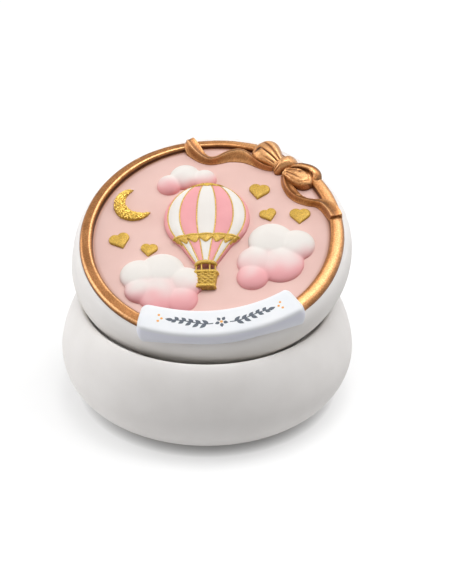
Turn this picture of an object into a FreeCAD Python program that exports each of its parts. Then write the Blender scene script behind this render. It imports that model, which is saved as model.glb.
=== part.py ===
import FreeCAD, Part
import Sketcher
import math
import os

# A round keepsake box for milk teeth: a bulging cast bowl and a loose lid that leans on its rim,
# front edge down in the mouth. The lid carries a gilt frame, a ribbon bow, a banner and a relief.
# The origin is the middle of the foot, Z is up and the lid's low side faces -Y.
doc = FreeCAD.newDocument("tooth_box")

# Driving dimensions in millimetres and degrees.
SIZES = {
    # Bowl: belly, shoulder, rim and the hollow for the teeth.
    "base_diameter": 70.0,
    "base_height": 24.9,
    "belly_height": 12.5,
    "shoulder_round": 9.5,
    "shoulder_turn": 15.0,
    "rim_round": 1.0,
    "rim_inset": 5.9,
    "floor_thickness": 4.5,
    "cavity_corner": 6.0,
    # Lid: pebble body with a locating plug below and a recess for the panel above.
    "lid_setback": 1.75,
    "lid_under_height": 7.3,
    "lid_under_round": 11.0,
    "lid_edge_round": 1.2,
    "lid_crown_height": 4.57,
    "lid_shoulder_width": 1.83,
    "plug_clearance": 1.3,
    "plug_depth": 5.3,
    "plug_edge_round": 0.8,
    # How the loose lid leans on the bowl.
    "lid_lean_angle": 20.4,
    "lid_spin_angle": 14.0,
    "lid_sideways": 0.8,
    "rest_clearance": 0.25,
    # Gilt frame, and the panel that it borders.
    "frame_setback": 0.1,
    "frame_width": 3.2,
    "frame_height": 1.5,
    "panel_tuck": 0.3,
    "panel_clearance": 0.1,
    "panel_thickness": 1.1,
    "panel_sink": 0.2,
    # Banner: a slice of a ring of its own, wider than the lid.
    "banner_radius": 41.0,
    "banner_half_angle": 28.5,
    "banner_width": 7.5,
    "banner_overhang": 0.2,
    "banner_rise": 2.9,
    "banner_skirt": 2.2,
    # Ribbon bow: the knot's place inside the middle of the frame, then loops and tails. The tails
    # are drawn for one radius of the frame's middle and follow the frame that there is.
    "knot_angle": 44.0,
    "knot_inset": 2.7,
    "knot_length": 4.4,
    "knot_width": 5.2,
    "knot_rise": 3.6,
    "loop_angle": 12.0,
    "loop_outset": 1.0,
    "loop_length": 8.6,
    "loop_width": 6.2,
    "loop_rise": 3.3,
    "loop_turn": 8.0,
    "tail_width": 2.6,
    "tail_rise": 2.3,
    "tail_frame_radius": 29.7,
    "left_tail_root_x": -0.9,
    "left_tail_root_y": -0.5,
    "left_tail_heading_angle": 175.0,
    "left_tail_first_radius": 9.0,
    "left_tail_first_turn": 40.0,
    "left_tail_second_radius": 10.0,
    "left_tail_second_turn": 52.0,
    "left_tail_third_radius": 5.5,
    "left_tail_third_turn": 75.0,
    "left_tail_end": 3.6,
    "right_tail_root_x": -0.7,
    "right_tail_root_y": -1.0,
    "right_tail_heading_angle": -95.0,
    "right_tail_first_radius": 9.0,
    "right_tail_first_turn": 60.0,
    "right_tail_middle": 3.0,
    "right_tail_second_radius": 7.0,
    "right_tail_second_turn": 28.0,
    "right_tail_end": 4.0,
    # Relief: balloon with its basket, clouds, crescent moon and hearts. Places are shares of the
    # panel's radius, across and up.
    "balloon_x_share": -0.018,
    "balloon_y_share": 0.194,
    "balloon_radius": 10.2,
    "balloon_drop": 14.6,
    "balloon_neck": 4.4,
    "balloon_rise": 3.0,
    "balloon_round": 1.5,
    "balloon_lean_angle": -6.0,
    "basket_gap": 2.4,
    "basket_width": 5.6,
    "basket_foot": 4.6,
    "basket_height": 4.4,
    "basket_rise": 2.0,
    "basket_edge": 0.5,
    "large_puff": 5.5,
    "middle_puff": 4.6,
    "small_puff": 3.8,
    "tiny_puff": 3.0,
    "puff_rise": 2.2,
    "moon_x_share": -0.616,
    "moon_y_share": 0.44,
    "moon_radius": 4.8,
    "moon_bite": 4.1,
    "moon_bite_shift": 2.4,
    "moon_bite_angle": 25.0,
    "moon_rise": 1.5,
    "large_heart": 5.0,
    "small_heart": 4.1,
    "heart_rise": 0.8,
}

# Each cloud is a heap of puffs: the size of a puff and its place as shares of the panel's radius.
CLOUDS = {
    "left_cloud": [
        ("middle_puff", -0.63, -0.33),
        ("large_puff", -0.44, -0.32),
        ("middle_puff", -0.26, -0.46),
        ("large_puff", -0.48, -0.53),
        ("small_puff", -0.30, -0.63),
        ("small_puff", -0.63, -0.49),
    ],
    "right_cloud": [
        ("middle_puff", 0.69, -0.19),
        ("large_puff", 0.49, -0.12),
        ("middle_puff", 0.345, -0.32),
        ("large_puff", 0.545, -0.37),
        ("small_puff", 0.30, -0.475),
    ],
    "top_cloud": [
        ("tiny_puff", -0.30, 0.615),
        ("small_puff", -0.16, 0.685),
        ("tiny_puff", 0.0, 0.635),
    ],
}
# Each heart: its size, its place as shares of the panel's radius, and its turn.
HEARTS = [
    ("large_heart", -0.757, 0.053, 14.0),
    ("small_heart", -0.528, -0.077, -12.0),
    ("large_heart", 0.444, 0.43, -16.0),
    ("small_heart", 0.50, 0.162, 12.0),
    ("large_heart", 0.757, 0.113, -8.0),
]

sheet = doc.addObject("Spreadsheet::Sheet", "Sizes")
for row, (alias, value) in enumerate(SIZES.items(), 1):
    sheet.set("A%d" % row, alias)
    sheet.set("B%d" % row, str(value))
    sheet.setAlias("B%d" % row, alias)
doc.recompute()

UP = FreeCAD.Vector(0, 0, 1)
ACROSS = FreeCAD.Vector(1, 0, 0)


def size(alias):
    return float(sheet.get(alias))


def bind(thing, **formulas):
    """Tie an object's properties to the cells of the sheet."""
    for name, formula in formulas.items():
        thing.setExpression(name.replace("__", "."), formula)


def polar(radius, angle):
    return (radius * math.cos(math.radians(angle)), radius * math.sin(math.radians(angle)))


def step_from(point, distance, angle):
    dx, dy = polar(distance, angle)
    return (point[0] + dx, point[1] + dy)


def lay_outline(sketch, steps):
    """Lay lines and arcs end to end as one closed outline and join their ends."""
    ends = []
    for step in steps:
        if step[0] == "line":
            curve = Part.LineSegment(FreeCAD.Vector(*step[1], 0), FreeCAD.Vector(*step[2], 0))
            order = (1, 2)
        else:
            centre, radius, begin, finish = step[1:]
            low, high = sorted((math.radians(begin), math.radians(finish)))
            circle = Part.Circle(FreeCAD.Vector(*centre, 0), UP, radius)
            curve = Part.ArcOfCircle(circle, low, high)
            order = (1, 2) if finish > begin else (2, 1)
        ends.append((sketch.addGeometry(curve, False),) + order)
    for (one, _, last), (two, first, _) in zip(ends, ends[1:] + ends[:1]):
        sketch.addConstraint(Sketcher.Constraint("Coincident", one, last, two, first))
    return [end[0] for end in ends]


def set_radius(sketch, edge, radius, formula):
    """Give an arc of a sketch its radius from the sheet."""
    number = sketch.addConstraint(Sketcher.Constraint("Radius", edge, radius))
    sketch.setExpression("Constraints[%d]" % number, formula)


def new_body(name, plane):
    """A body with one sketch on one of its own origin planes."""
    body = doc.addObject("PartDesign::Body", name)
    sketch = body.newObject("Sketcher::SketchObject", name + "_outline")
    support = [f for f in body.Origin.OriginFeatures if f.Role == plane][0]
    sketch.AttachmentSupport = [(support, "")]
    sketch.MapMode = "FlatFace"
    return body, sketch


def revolve(body, sketch):
    """Turn an upright half outline round the Z axis."""
    turned = body.newObject("PartDesign::Revolution", body.Name + "_turned")
    turned.Profile = sketch
    turned.ReferenceAxis = (sketch, ["V_Axis"])
    turned.Angle = 360.0
    return turned


def cut_away(name, shape, tools):
    """What is left of a shape after each tool in turn is taken out of it."""
    for number, tool in enumerate(tools, 1):
        cut = doc.addObject("Part::Cut", "%s_cut%d" % (name, number))
        cut.Base = shape
        cut.Tool = tool
        shape = cut
    return shape


base_radius = size("base_diameter") / 2
belly = size("belly_height")
rim_round = size("rim_round")
mouth_radius = base_radius - size("rim_inset")
rim_centre = (mouth_radius + rim_round, size("base_height") - rim_round)


def make_bowl():
    """Bulging bowl: round belly, flatter shoulder, rounded rim and a plain round hollow."""
    body, sketch = new_body("base_bowl", "XZ_Plane")
    shoulder, turn = size("shoulder_round"), size("shoulder_turn")
    shoulder_centre = (base_radius - shoulder, belly)
    # The flank is one long arc that leaves the shoulder and meets the rim without a crease. It bulges
    # out, or sinks in where the rim stands high.
    leave = step_from(shoulder_centre, shoulder, turn)
    across, rise = rim_centre[0] - leave[0], rim_centre[1] - leave[1]
    inward = -across * math.cos(math.radians(turn)) - rise * math.sin(math.radians(turn))
    long_round = (across ** 2 + rise ** 2 - rim_round ** 2) / (2 * (inward - rim_round))
    long_centre = step_from(leave, -long_round, turn)
    meet = math.degrees(math.atan2(rim_centre[1] - long_centre[1], rim_centre[0] - long_centre[0])) % 360
    flip = 0 if long_round > 0 else 180
    floor, corner = size("floor_thickness"), size("cavity_corner")
    corner_centre = (mouth_radius - corner, floor + corner)
    foot_radius = base_radius - belly
    edges = lay_outline(sketch, [
        ("line", (0, 0), (foot_radius, 0)),
        ("arc", (foot_radius, belly), belly, -90, 0),
        ("arc", shoulder_centre, shoulder, 0, turn),
        ("arc", long_centre, abs(long_round), turn + flip, meet),
        ("arc", rim_centre, rim_round, meet - flip, 180),
        ("line", (mouth_radius, rim_centre[1]), (mouth_radius, corner_centre[1])),
        ("arc", corner_centre, corner, 0, -90),
        ("line", (corner_centre[0], floor), (0, floor)),
        ("line", (0, floor), (0, 0)),
    ])
    set_radius(sketch, edges[1], belly, "Sizes.belly_height")
    set_radius(sketch, edges[2], shoulder, "Sizes.shoulder_round")
    set_radius(sketch, edges[4], rim_round, "Sizes.rim_round")
    set_radius(sketch, edges[6], corner, "Sizes.cavity_corner")
    revolve(body, sketch)
    return body


lid_radius = base_radius - size("lid_setback")
under = size("lid_under_height")
under_round = size("lid_under_round")
edge_round = size("lid_edge_round")
crown = size("lid_crown_height")
shoulder_width = size("lid_shoulder_width")
land_radius = lid_radius - shoulder_width
plug_radius = mouth_radius - size("plug_clearance")
plug_bottom = -under - size("plug_depth")
frame_outer = land_radius - size("frame_setback")
frame_inner = frame_outer - size("frame_width")
frame_middle = (frame_outer + frame_inner) / 2
knot_radius = frame_middle - size("knot_inset")
knot_place = polar(knot_radius, size("knot_angle"))
panel_radius = frame_inner + size("panel_tuck")
panel_top = crown - size("panel_sink")
PANEL_RADIUS = ("Sizes.base_diameter / 2 - Sizes.lid_setback - Sizes.lid_shoulder_width"
                " - Sizes.frame_setback - Sizes.frame_width + Sizes.panel_tuck")
PANEL_TOP = "Sizes.lid_crown_height - Sizes.panel_sink"


under_turn = math.degrees(math.asin((under - edge_round) / (under_round - edge_round)))
under_centre = (lid_radius - under_round, 0)
edge_centre = step_from(under_centre, under_round - edge_round, -under_turn)
plug_round = size("plug_edge_round")
plug_corner = (plug_radius - plug_round, plug_bottom + plug_round)


def lid_outline():
    """Half outline of the lid, from the middle of the plug round to the middle of the recess."""
    crown_round = (shoulder_width ** 2 + crown ** 2) / (2 * shoulder_width)
    crown_turn = math.degrees(math.asin(crown / crown_round))
    recess_radius = panel_radius + size("panel_clearance")
    recess_floor = panel_top - size("panel_thickness")
    return [
        ("line", (0, plug_bottom), (plug_corner[0], plug_bottom)),
        ("arc", plug_corner, plug_round, -90, 0),
        ("line", (plug_radius, plug_corner[1]), (plug_radius, -under)),
        ("line", (plug_radius, -under), (edge_centre[0], -under)),
        ("arc", edge_centre, edge_round, -90, -under_turn),
        ("arc", under_centre, under_round, -under_turn, 0),
        ("arc", (lid_radius - crown_round, 0), crown_round, 0, crown_turn),
        ("line", (land_radius, crown), (recess_radius, crown)),
        ("line", (recess_radius, crown), (recess_radius, recess_floor)),
        ("line", (recess_radius, recess_floor), (0, recess_floor)),
        ("line", (0, recess_floor), (0, plug_bottom)),
    ]


def belly_gap(radius, level):
    """Distance from a point of the lid's half section to the lid's belly."""
    below = math.degrees(math.atan2(-level, radius - under_centre[0]))
    if below <= under_turn:
        return math.hypot(radius - under_centre[0], level) - under_round
    if radius > edge_centre[0]:
        return math.hypot(radius - edge_centre[0], level - edge_centre[1]) - edge_round
    return -under - level


def plug_gap(radius, level):
    """Distance from a point of the lid's half section to the plug."""
    out, down = radius - plug_corner[0], plug_corner[1] - level
    return math.hypot(max(out, 0), max(down, 0)) + min(max(out, down), 0) - plug_round


lean = math.radians(size("lid_lean_angle"))
# Circles of the bowl that the leaning lid could touch: the middle of the round rim, then the wall
# of the hollow below it. Each has its radius, its height and the roundness round it.
wall_step = (rim_centre[1] - size("floor_thickness") - size("cavity_corner")) / 12
TOUCH_RINGS = [(rim_centre[0], rim_centre[1], rim_round)]
TOUCH_RINGS += [(mouth_radius, rim_centre[1] - step * wall_step, 0) for step in range(1, 13)]


def least_room(gap, degrees, shift, height):
    """Least room between the bowl and a part of the lid when the lid's middle lies there."""
    rooms = []
    for degree in degrees:
        for radius, level, roundness in TOUCH_RINGS:
            x, y = polar(radius, degree)
            y, z = y - shift, level - height
            along, up = y * math.cos(lean) + z * math.sin(lean), z * math.cos(lean) - y * math.sin(lean)
            rooms.append(gap(math.hypot(x - size("lid_sideways"), along), up) - roundness)
    return min(rooms)


def least_place(low, high, fits):
    """Lowest of the places from low to high that fit."""
    while high - low > 0.001:
        middle = (low + high) / 2
        if fits(middle):
            high = middle
        else:
            low = middle
    return high


def rest_shift(height):
    """How far back the lid lies when its front belly just clears the rim at a given height."""
    return least_place(-lid_radius / 2, lid_radius / 2, lambda shift: least_room(
        belly_gap, range(180, 360, 3), shift, height) > size("rest_clearance"))


def settle_height():
    """Lowest place of the lid's middle where the plug still clears the rim."""
    low = size("base_height")
    return least_place(low, low + lid_radius / 2, lambda height: least_room(
        plug_gap, range(0, 360, 3), rest_shift(height), height) > size("rest_clearance"))


rest_height = settle_height()
lean_turn = FreeCAD.Rotation(ACROSS, size("lid_lean_angle"))
spin_turn = FreeCAD.Rotation(UP, size("lid_spin_angle"))
lid_place = FreeCAD.Placement(
    FreeCAD.Vector(size("lid_sideways"), rest_shift(rest_height), rest_height),
    lean_turn.multiply(spin_turn))


def make_lid_body():
    """Pebble-shaped lid with its plug, its flat land and the recess for the panel."""
    body, sketch = new_body("lid_body", "XZ_Plane")
    edges = lay_outline(sketch, lid_outline())
    set_radius(sketch, edges[1], plug_round, "Sizes.plug_edge_round")
    set_radius(sketch, edges[4], edge_round, "Sizes.lid_edge_round")
    set_radius(sketch, edges[5], under_round, "Sizes.lid_under_round")
    revolve(body, sketch)
    return body


def make_panel():
    """Thin round panel that lies in the recess of the lid."""
    panel = doc.addObject("Part::Cylinder", "medallion_panel")
    bind(panel, Radius=PANEL_RADIUS, Height="Sizes.panel_thickness",
         Placement__Base__z=PANEL_TOP + " - Sizes.panel_thickness")
    return panel


def make_frame_ring():
    """Half-round moulding that stands on the land of the lid."""
    body, sketch = new_body("frame_ring", "XZ_Plane")
    half, height = size("frame_width") / 2, size("frame_height")
    crown_radius = (half ** 2 + height ** 2) / (2 * height)
    centre = (frame_inner + half, crown + height - crown_radius)
    start = math.degrees(math.atan2(crown - centre[1], half))
    lay_outline(sketch, [
        ("line", (frame_inner, crown), (frame_outer, crown)),
        ("arc", centre, crown_radius, start, 180 - start),
    ])
    revolve(body, sketch)
    return body


def pad_outline(name, steps, height_formula, level_formula):
    """Raise an outline that lies flat on the lid."""
    body, sketch = new_body(name, "XY_Plane")
    lay_outline(sketch, steps)
    bind(sketch, AttachmentOffset__Base__z=level_formula)
    pad = body.newObject("PartDesign::Pad", name + "_raised")
    pad.Profile = sketch
    bind(pad, Length=height_formula)
    return body, pad


def make_banner_block():
    """Slice of a wide ring that lies over the front of the frame and of the panel."""
    outer = size("banner_radius")
    inner = outer - size("banner_width")
    half = size("banner_half_angle")
    centre = (0, outer - frame_outer - size("banner_overhang"))
    left, right = -90 - half, -90 + half
    steps = [
        ("arc", centre, outer, left, right),
        ("line", step_from(centre, outer, right), step_from(centre, inner, right)),
        ("arc", centre, inner, right, left),
        ("line", step_from(centre, inner, left), step_from(centre, outer, left)),
    ]
    return pad_outline("banner_block", steps, "Sizes.banner_rise + Sizes.banner_skirt",
                       "Sizes.lid_crown_height - Sizes.banner_skirt")[0]


def make_swell(name, x, y, turn, length, width, rise):
    """Flattened egg on the lid's land: the rounded body of a knot, a loop or a puff."""
    egg = doc.addObject("Part::Ellipsoid", name)
    bind(egg, Radius1=rise, Radius2=length + " / 2", Radius3=width + " / 2")
    egg.Placement = FreeCAD.Placement(FreeCAD.Vector(x, y, panel_top), FreeCAD.Rotation(UP, turn))
    return egg


def make_loop(name, side):
    """One puffed loop of the bow, beside the knot and along the frame."""
    angle = size("knot_angle") + side * size("loop_angle")
    x, y = polar(knot_radius + size("loop_outset"), angle)
    return make_swell(name, x, y, angle + 90 + side * size("loop_turn"),
                      "Sizes.loop_length", "Sizes.loop_width", "Sizes.loop_rise")


def ribbon_steps(start, first_heading, bends):
    """Outline of a flat ribbon of even width along straight runs and tangent bends."""
    half = size("tail_width") / 2
    point, heading = start, first_heading
    left_side, right_side = [], []
    for radius, turn in bends:
        if turn == 0:
            end = step_from(point, radius, heading)
            left, right = heading + 90, heading - 90
            left_side.append(("line", step_from(point, half, left), step_from(end, half, left)))
            right_side.append(("line", step_from(end, half, right), step_from(point, half, right)))
        else:
            side = math.copysign(1, turn)
            centre = step_from(point, radius, heading + 90 * side)
            begin = heading - 90 * side
            left_side.append(("arc", centre, radius - side * half, begin, begin + turn))
            right_side.append(("arc", centre, radius + side * half, begin + turn, begin))
            end = step_from(centre, radius, begin + turn)
            heading += turn
        point = end
    tip = ("line", step_from(point, half, heading + 90), step_from(point, half, heading - 90))
    root = ("line", step_from(start, half, first_heading - 90), step_from(start, half, first_heading + 90))
    return left_side + [tip] + right_side[::-1] + [root]


def make_tail(name, bends):
    """One wavy tail of the ribbon, which lies on the panel and climbs over the frame."""
    start = (knot_place[0] + size(name + "_root_x"), knot_place[1] + size(name + "_root_y"))
    fitted = [(reach * frame_middle / size("tail_frame_radius"), turn) for reach, turn in bends]
    steps = ribbon_steps(start, size(name + "_heading_angle"), fitted)
    return pad_outline(name + "_band", steps, "Sizes.tail_rise + Sizes.panel_sink", PANEL_TOP)[0]


def make_balloon():
    """Pillowed teardrop of the balloon, from its crown down to its neck."""
    radius, neck = size("balloon_radius"), size("balloon_neck") / 2
    drop = size("balloon_drop")
    # The sides leave the crown's circle without a crease and run down to the neck.
    reach = math.hypot(neck, drop)
    side = math.degrees(math.acos(radius / reach)) - math.degrees(math.atan2(neck, drop))
    right, left = -90 + side, -90 - side
    steps = [
        ("arc", (0, 0), radius, right, 360 + left),
        ("line", polar(radius, left), (-neck, -drop)),
        ("line", (-neck, -drop), (neck, -drop)),
        ("line", (neck, -drop), polar(radius, right)),
    ]
    body, pad = pad_outline("balloon_envelope", steps, "Sizes.balloon_rise", PANEL_TOP)
    doc.recompute()
    round_top(body, pad, "Sizes.balloon_round")
    return body


def round_top(body, pad, radius_formula):
    """Round over the upper edges of a raised outline."""
    top = max(vertex.Z for vertex in pad.Shape.Vertexes)
    rim = ["Edge%d" % number for number, edge in enumerate(pad.Shape.Edges, 1)
           if all(abs(vertex.Z - top) < 1e-6 for vertex in edge.Vertexes)]
    fillet = body.newObject("PartDesign::Fillet", body.Name + "_rounded")
    fillet.Base = (pad, rim)
    bind(fillet, Radius=radius_formula)


def make_basket():
    """Little tapered basket that hangs below the balloon."""
    half, foot, height = size("basket_width") / 2, size("basket_foot") / 2, size("basket_height")
    top = -size("balloon_drop") - size("basket_gap")
    corners = [(-half, top), (-foot, top - height), (foot, top - height), (half, top)]
    steps = [("line", one, two) for one, two in zip(corners, corners[1:] + corners[:1])]
    body, pad = pad_outline("balloon_basket", steps, "Sizes.basket_rise", PANEL_TOP)
    doc.recompute()
    round_top(body, pad, "Sizes.basket_edge")
    return body


def make_cloud(name, space):
    """Row of puffs, flat where it lies on the panel."""
    puffs = []
    for number, (puff, across, up) in enumerate(CLOUDS[name], 1):
        diameter = "2 * Sizes.%s" % puff
        puffs.append(make_swell("%s_puff%d" % (name, number), across * panel_radius, up * panel_radius, 0,
                                diameter, diameter, "Sizes.puff_rise"))
    heap = doc.addObject("Part::MultiFuse", name + "_heap")
    heap.Shapes = puffs
    cloud = doc.addObject("Part::Common", name)
    cloud.Base = heap
    cloud.Tool = space
    return cloud


def make_relief_space():
    """The room above the panel, inside the frame, where the relief lies."""
    space = doc.addObject("Part::Cylinder", "relief_space")
    bind(space, Radius=PANEL_RADIUS + " - 2 * Sizes.panel_tuck", Height="2 * Sizes.puff_rise",
         Placement__Base__z=PANEL_TOP)
    return space


def make_moon():
    """Crescent: a disc with a smaller disc bitten out of it."""
    x, y = "Sizes.moon_x_share * (%s)" % PANEL_RADIUS, "Sizes.moon_y_share * (%s)" % PANEL_RADIUS
    disc = doc.addObject("Part::Cylinder", "moon_disc")
    bind(disc, Radius="Sizes.moon_radius", Height="Sizes.moon_rise", Placement__Base__x=x,
         Placement__Base__y=y, Placement__Base__z=PANEL_TOP)
    bite = doc.addObject("Part::Cylinder", "moon_bite")
    bind(bite, Radius="Sizes.moon_bite", Height="Sizes.moon_rise",
         Placement__Base__x=x + " + Sizes.moon_bite_shift * cos(Sizes.moon_bite_angle * 1deg)",
         Placement__Base__y=y + " + Sizes.moon_bite_shift * sin(Sizes.moon_bite_angle * 1deg)",
         Placement__Base__z=PANEL_TOP)
    return cut_away("moon", disc, [bite])


def make_heart(name, width, across, up, turn):
    """Flat heart: two half rounds over two straight sides."""
    lobe = width / (2 + math.sqrt(2))
    side = 2 * lobe
    tip = (0, -side / math.sqrt(2))
    right_end, left_end = step_from(tip, side, 45), step_from(tip, side, 135)
    right_lobe, left_lobe = step_from(right_end, lobe, 135), step_from(left_end, lobe, 45)
    body, pad = pad_outline(name, [
        ("line", tip, right_end),
        ("arc", right_lobe, lobe, -45, 135),
        ("arc", left_lobe, lobe, 45, 225),
        ("line", left_end, tip),
    ], "Sizes.heart_rise", PANEL_TOP)
    body.Placement = FreeCAD.Placement(
        FreeCAD.Vector(across * panel_radius, up * panel_radius, 0), FreeCAD.Rotation(UP, turn))
    return body


bowl = make_bowl()
lid = make_lid_body()
panel = make_panel()
ring = make_frame_ring()
banner_block = make_banner_block()
doc.recompute()

frame = cut_away("frame", ring, [banner_block])
banner = cut_away("banner", banner_block, [lid, panel])
lid_top = [lid, panel, frame]
knot_egg = make_swell("knot_egg", *knot_place, size("knot_angle") + 90,
                      "Sizes.knot_length", "Sizes.knot_width", "Sizes.knot_rise")
knot = cut_away("knot", knot_egg, lid_top)
left_loop = cut_away("left_loop", make_loop("left_egg", 1), lid_top + [knot])
right_loop = cut_away("right_loop", make_loop("right_egg", -1), lid_top + [knot])
left_bends = [
    (size("left_tail_first_radius"), -size("left_tail_first_turn")),
    (size("left_tail_second_radius"), size("left_tail_second_turn")),
    (size("left_tail_third_radius"), -size("left_tail_third_turn")),
    (size("left_tail_end"), 0),
]
right_bends = [
    (size("right_tail_first_radius"), size("right_tail_first_turn")),
    (size("right_tail_middle"), 0),
    (size("right_tail_second_radius"), -size("right_tail_second_turn")),
    (size("right_tail_end"), 0),
]
bow = [knot, left_loop, right_loop]
left_tail = cut_away("left_tail", make_tail("left_tail", left_bends), lid_top + bow)
right_tail = cut_away("right_tail", make_tail("right_tail", right_bends), lid_top + bow + [left_tail])

balloon = make_balloon()
basket = make_basket()
balloon_place = FreeCAD.Placement(
    FreeCAD.Vector(size("balloon_x_share") * panel_radius, size("balloon_y_share") * panel_radius, 0),
    FreeCAD.Rotation(UP, size("balloon_lean_angle")))
balloon.Placement = balloon_place
basket.Placement = balloon_place
# What lies further back in the relief is cut by what lies in front of it.
space = make_relief_space()
hearts = doc.addObject("Part::Compound", "hearts")
hearts.Links = [make_heart("heart%d" % number, size(width), across, up, turn)
                for number, (width, across, up, turn) in enumerate(HEARTS, 1)]
in_front = [balloon, basket, banner, left_tail, right_tail, hearts]
clouds = {name: cut_away(name, make_cloud(name, space), in_front) for name in CLOUDS}
moon = cut_away("moon_shown", make_moon(), [balloon, frame])
doc.recompute()

NODES = {
    "base_bowl": bowl,
    "lid_body": lid,
    "medallion_panel": panel,
    "gilt_frame": frame,
    "banner": banner,
    "bow_knot": knot,
    "bow_left_loop": left_loop,
    "bow_right_loop": right_loop,
    "ribbon_left_tail": left_tail,
    "ribbon_right_tail": right_tail,
    "balloon_envelope": balloon,
    "balloon_basket": basket,
    "crescent_moon": moon,
    "gold_hearts": hearts,
}
NODES.update(clouds)

for thing in doc.Objects:
    if "Invalid" in thing.State or "Error" in thing.State:
        raise RuntimeError("%s did not build: %s" % (thing.Name, thing.State))

os.makedirs("parts", exist_ok=True)
for label, thing in NODES.items():
    thing.Label = label
    if thing is not bowl:
        thing.Placement = lid_place.multiply(thing.Placement)
    if thing.Shape.isNull() or not thing.Shape.isValid() or not thing.Shape.Solids:
        raise RuntimeError("%s has no sound solid" % label)
    thing.Shape.exportStep("parts/%s.step" % label)
    print("%s: %d solids, %.1f mm3" % (label, len(thing.Shape.Solids), thing.Shape.Volume))
print("lid middle at", lid_place.Base)
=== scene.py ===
import math
import random

import bmesh
import bpy
from mathutils import Matrix, Vector, noise


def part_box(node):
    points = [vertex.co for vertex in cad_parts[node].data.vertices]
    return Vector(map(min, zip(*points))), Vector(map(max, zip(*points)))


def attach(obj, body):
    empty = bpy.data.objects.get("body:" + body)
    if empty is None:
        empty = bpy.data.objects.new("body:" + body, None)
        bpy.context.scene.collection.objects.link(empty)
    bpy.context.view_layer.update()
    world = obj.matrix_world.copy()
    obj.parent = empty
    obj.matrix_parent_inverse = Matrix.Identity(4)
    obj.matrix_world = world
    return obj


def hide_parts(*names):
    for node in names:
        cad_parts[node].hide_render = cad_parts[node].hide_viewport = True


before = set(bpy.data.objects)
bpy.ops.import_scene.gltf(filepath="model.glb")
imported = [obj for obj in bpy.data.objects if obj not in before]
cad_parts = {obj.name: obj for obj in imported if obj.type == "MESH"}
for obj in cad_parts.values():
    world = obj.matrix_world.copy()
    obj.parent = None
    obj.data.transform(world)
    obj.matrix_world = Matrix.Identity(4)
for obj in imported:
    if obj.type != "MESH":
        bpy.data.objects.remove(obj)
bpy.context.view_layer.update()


# Bowl: the lower half of the box, a bulging pot of off-white polyresin with a rounded rim and a plain
# round hollow for the teeth. It is cast in one piece in a soft mould, sanded and left matt.
MM = 0.001
BOWL_RADIUS, BOWL_HEIGHT, BELLY = 35.0, 24.9, 12.5
SHOULDER_FULL, SHOULDER_STEPS, RIM_ROUND, MOUTH = 1.55, 48, 1.0, 29.1
BOWL_FLOOR, BOWL_CORNER = 4.5, 6.0
FOOT_RING, WALL_RINGS, FLOOR_RING = 18.0, (20.0, 15.0), 12.0
CAST_SIDES, CAST_SWAY, SWAY_ROUND, SWAY_UP = 224, 0.06, 1.4, 0.06
RESIN, RESIN_SHADE, RESIN_ROUGH = (0.865, 0.838, 0.818), (0.825, 0.796, 0.774), (0.5, 0.68)
# The second colour on the next line is the warm dark colour painted as shade on the lid's lower belly.
RESIN_RUBBED, RESIN_PAINTED_SHADE = (0.89, 0.868, 0.852), (0.6, 0.56, 0.5)
TONE_PLACES, EDGE_POINTS, GRAIN_BUMP, COAT_SHINE = (0.34, 0.66), (0.53, 0.62), 0.6, 0.35


def arc(middle, radius, begin, finish, count):
    """Points along a circle, from one angle to another in degrees."""
    angles = [math.radians(begin + (finish - begin) * step / count) for step in range(count + 1)]
    return [(middle[0] + radius * math.cos(a), middle[1] + radius * math.sin(a)) for a in angles]


def turn_on_axis(outline, sides, sway):
    """Turn a half outline round the upright axis; the cast wall wanders inwards by up to sway."""
    cast = bmesh.new()
    rows = []
    for radius, level in outline:
        if radius < 1e-6:
            rows.append([cast.verts.new((0, 0, level))])
            continue
        row = []
        for side in range(sides):
            angle = 2 * math.pi * side / sides
            across, along = math.cos(angle), math.sin(angle)
            wander = noise.noise(Vector((SWAY_ROUND * across, SWAY_ROUND * along, SWAY_UP * level)))
            pull = radius - sway * (0.5 + 0.5 * wander)
            row.append(cast.verts.new((pull * across, pull * along, level)))
        rows.append(row)
    for lower, upper in zip(rows, rows[1:]):
        for side in range(sides):
            after = side + 1
            corners = [lower[side % len(lower)], lower[after % len(lower)],
                       upper[after % len(upper)], upper[side % len(upper)]]
            cast.faces.new(list(dict.fromkeys(corners)))
    return cast


def set_piece(name, form, place, finishes, crease=45):
    """Make an object of a form drawn in millimetres: place it, smooth it and give it its finishes."""
    bmesh.ops.recalc_face_normals(form, faces=form.faces)
    mesh = bpy.data.meshes.new(name)
    form.to_mesh(mesh)
    form.free()
    mesh.transform(place @ Matrix.Scale(MM, 4))
    mesh.shade_smooth()
    mesh.set_sharp_from_angle(angle=math.radians(crease))
    for finish in finishes:
        mesh.materials.append(finish)
    piece = bpy.data.objects.new(name, mesh)
    bpy.context.scene.collection.objects.link(piece)
    return piece


def feed(tree, node, feeds):
    """Give a node's inputs their values, or link them to other nodes' results."""
    for place, what in feeds.items():
        if isinstance(what, bpy.types.NodeSocket):
            tree.links.new(what, node.inputs[place])
        else:
            node.inputs[place].default_value = what


def wire(tree, kind, result, feeds, **settings):
    """Add a node with its settings and feeds, and give back one of its results."""
    node = tree.nodes.new(kind)
    for setting, choice in settings.items():
        setattr(node, setting, choice)
    feed(tree, node, feeds)
    return node.outputs[result]


def ramp(tree, value, stops):
    """Colour that a value picks from a ramp with the given (place, colour) stops."""
    node = tree.nodes.new("ShaderNodeValToRGB")
    while len(node.color_ramp.elements) < len(stops):
        node.color_ramp.elements.new(1.0)
    for element, (place, colour) in zip(node.color_ramp.elements, stops):
        element.position = place
        element.color = (*colour, 1.0)
    feed(tree, node, {"Fac": value})
    return node.outputs["Color"]


def gauge(tree, value, low, high, top=1.0):
    """Value that goes from 0 to top while another goes from low to high."""
    return wire(tree, "ShaderNodeMapRange", "Result",
                {"Value": value, "From Min": low, "From Max": high, "To Max": top})


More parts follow.
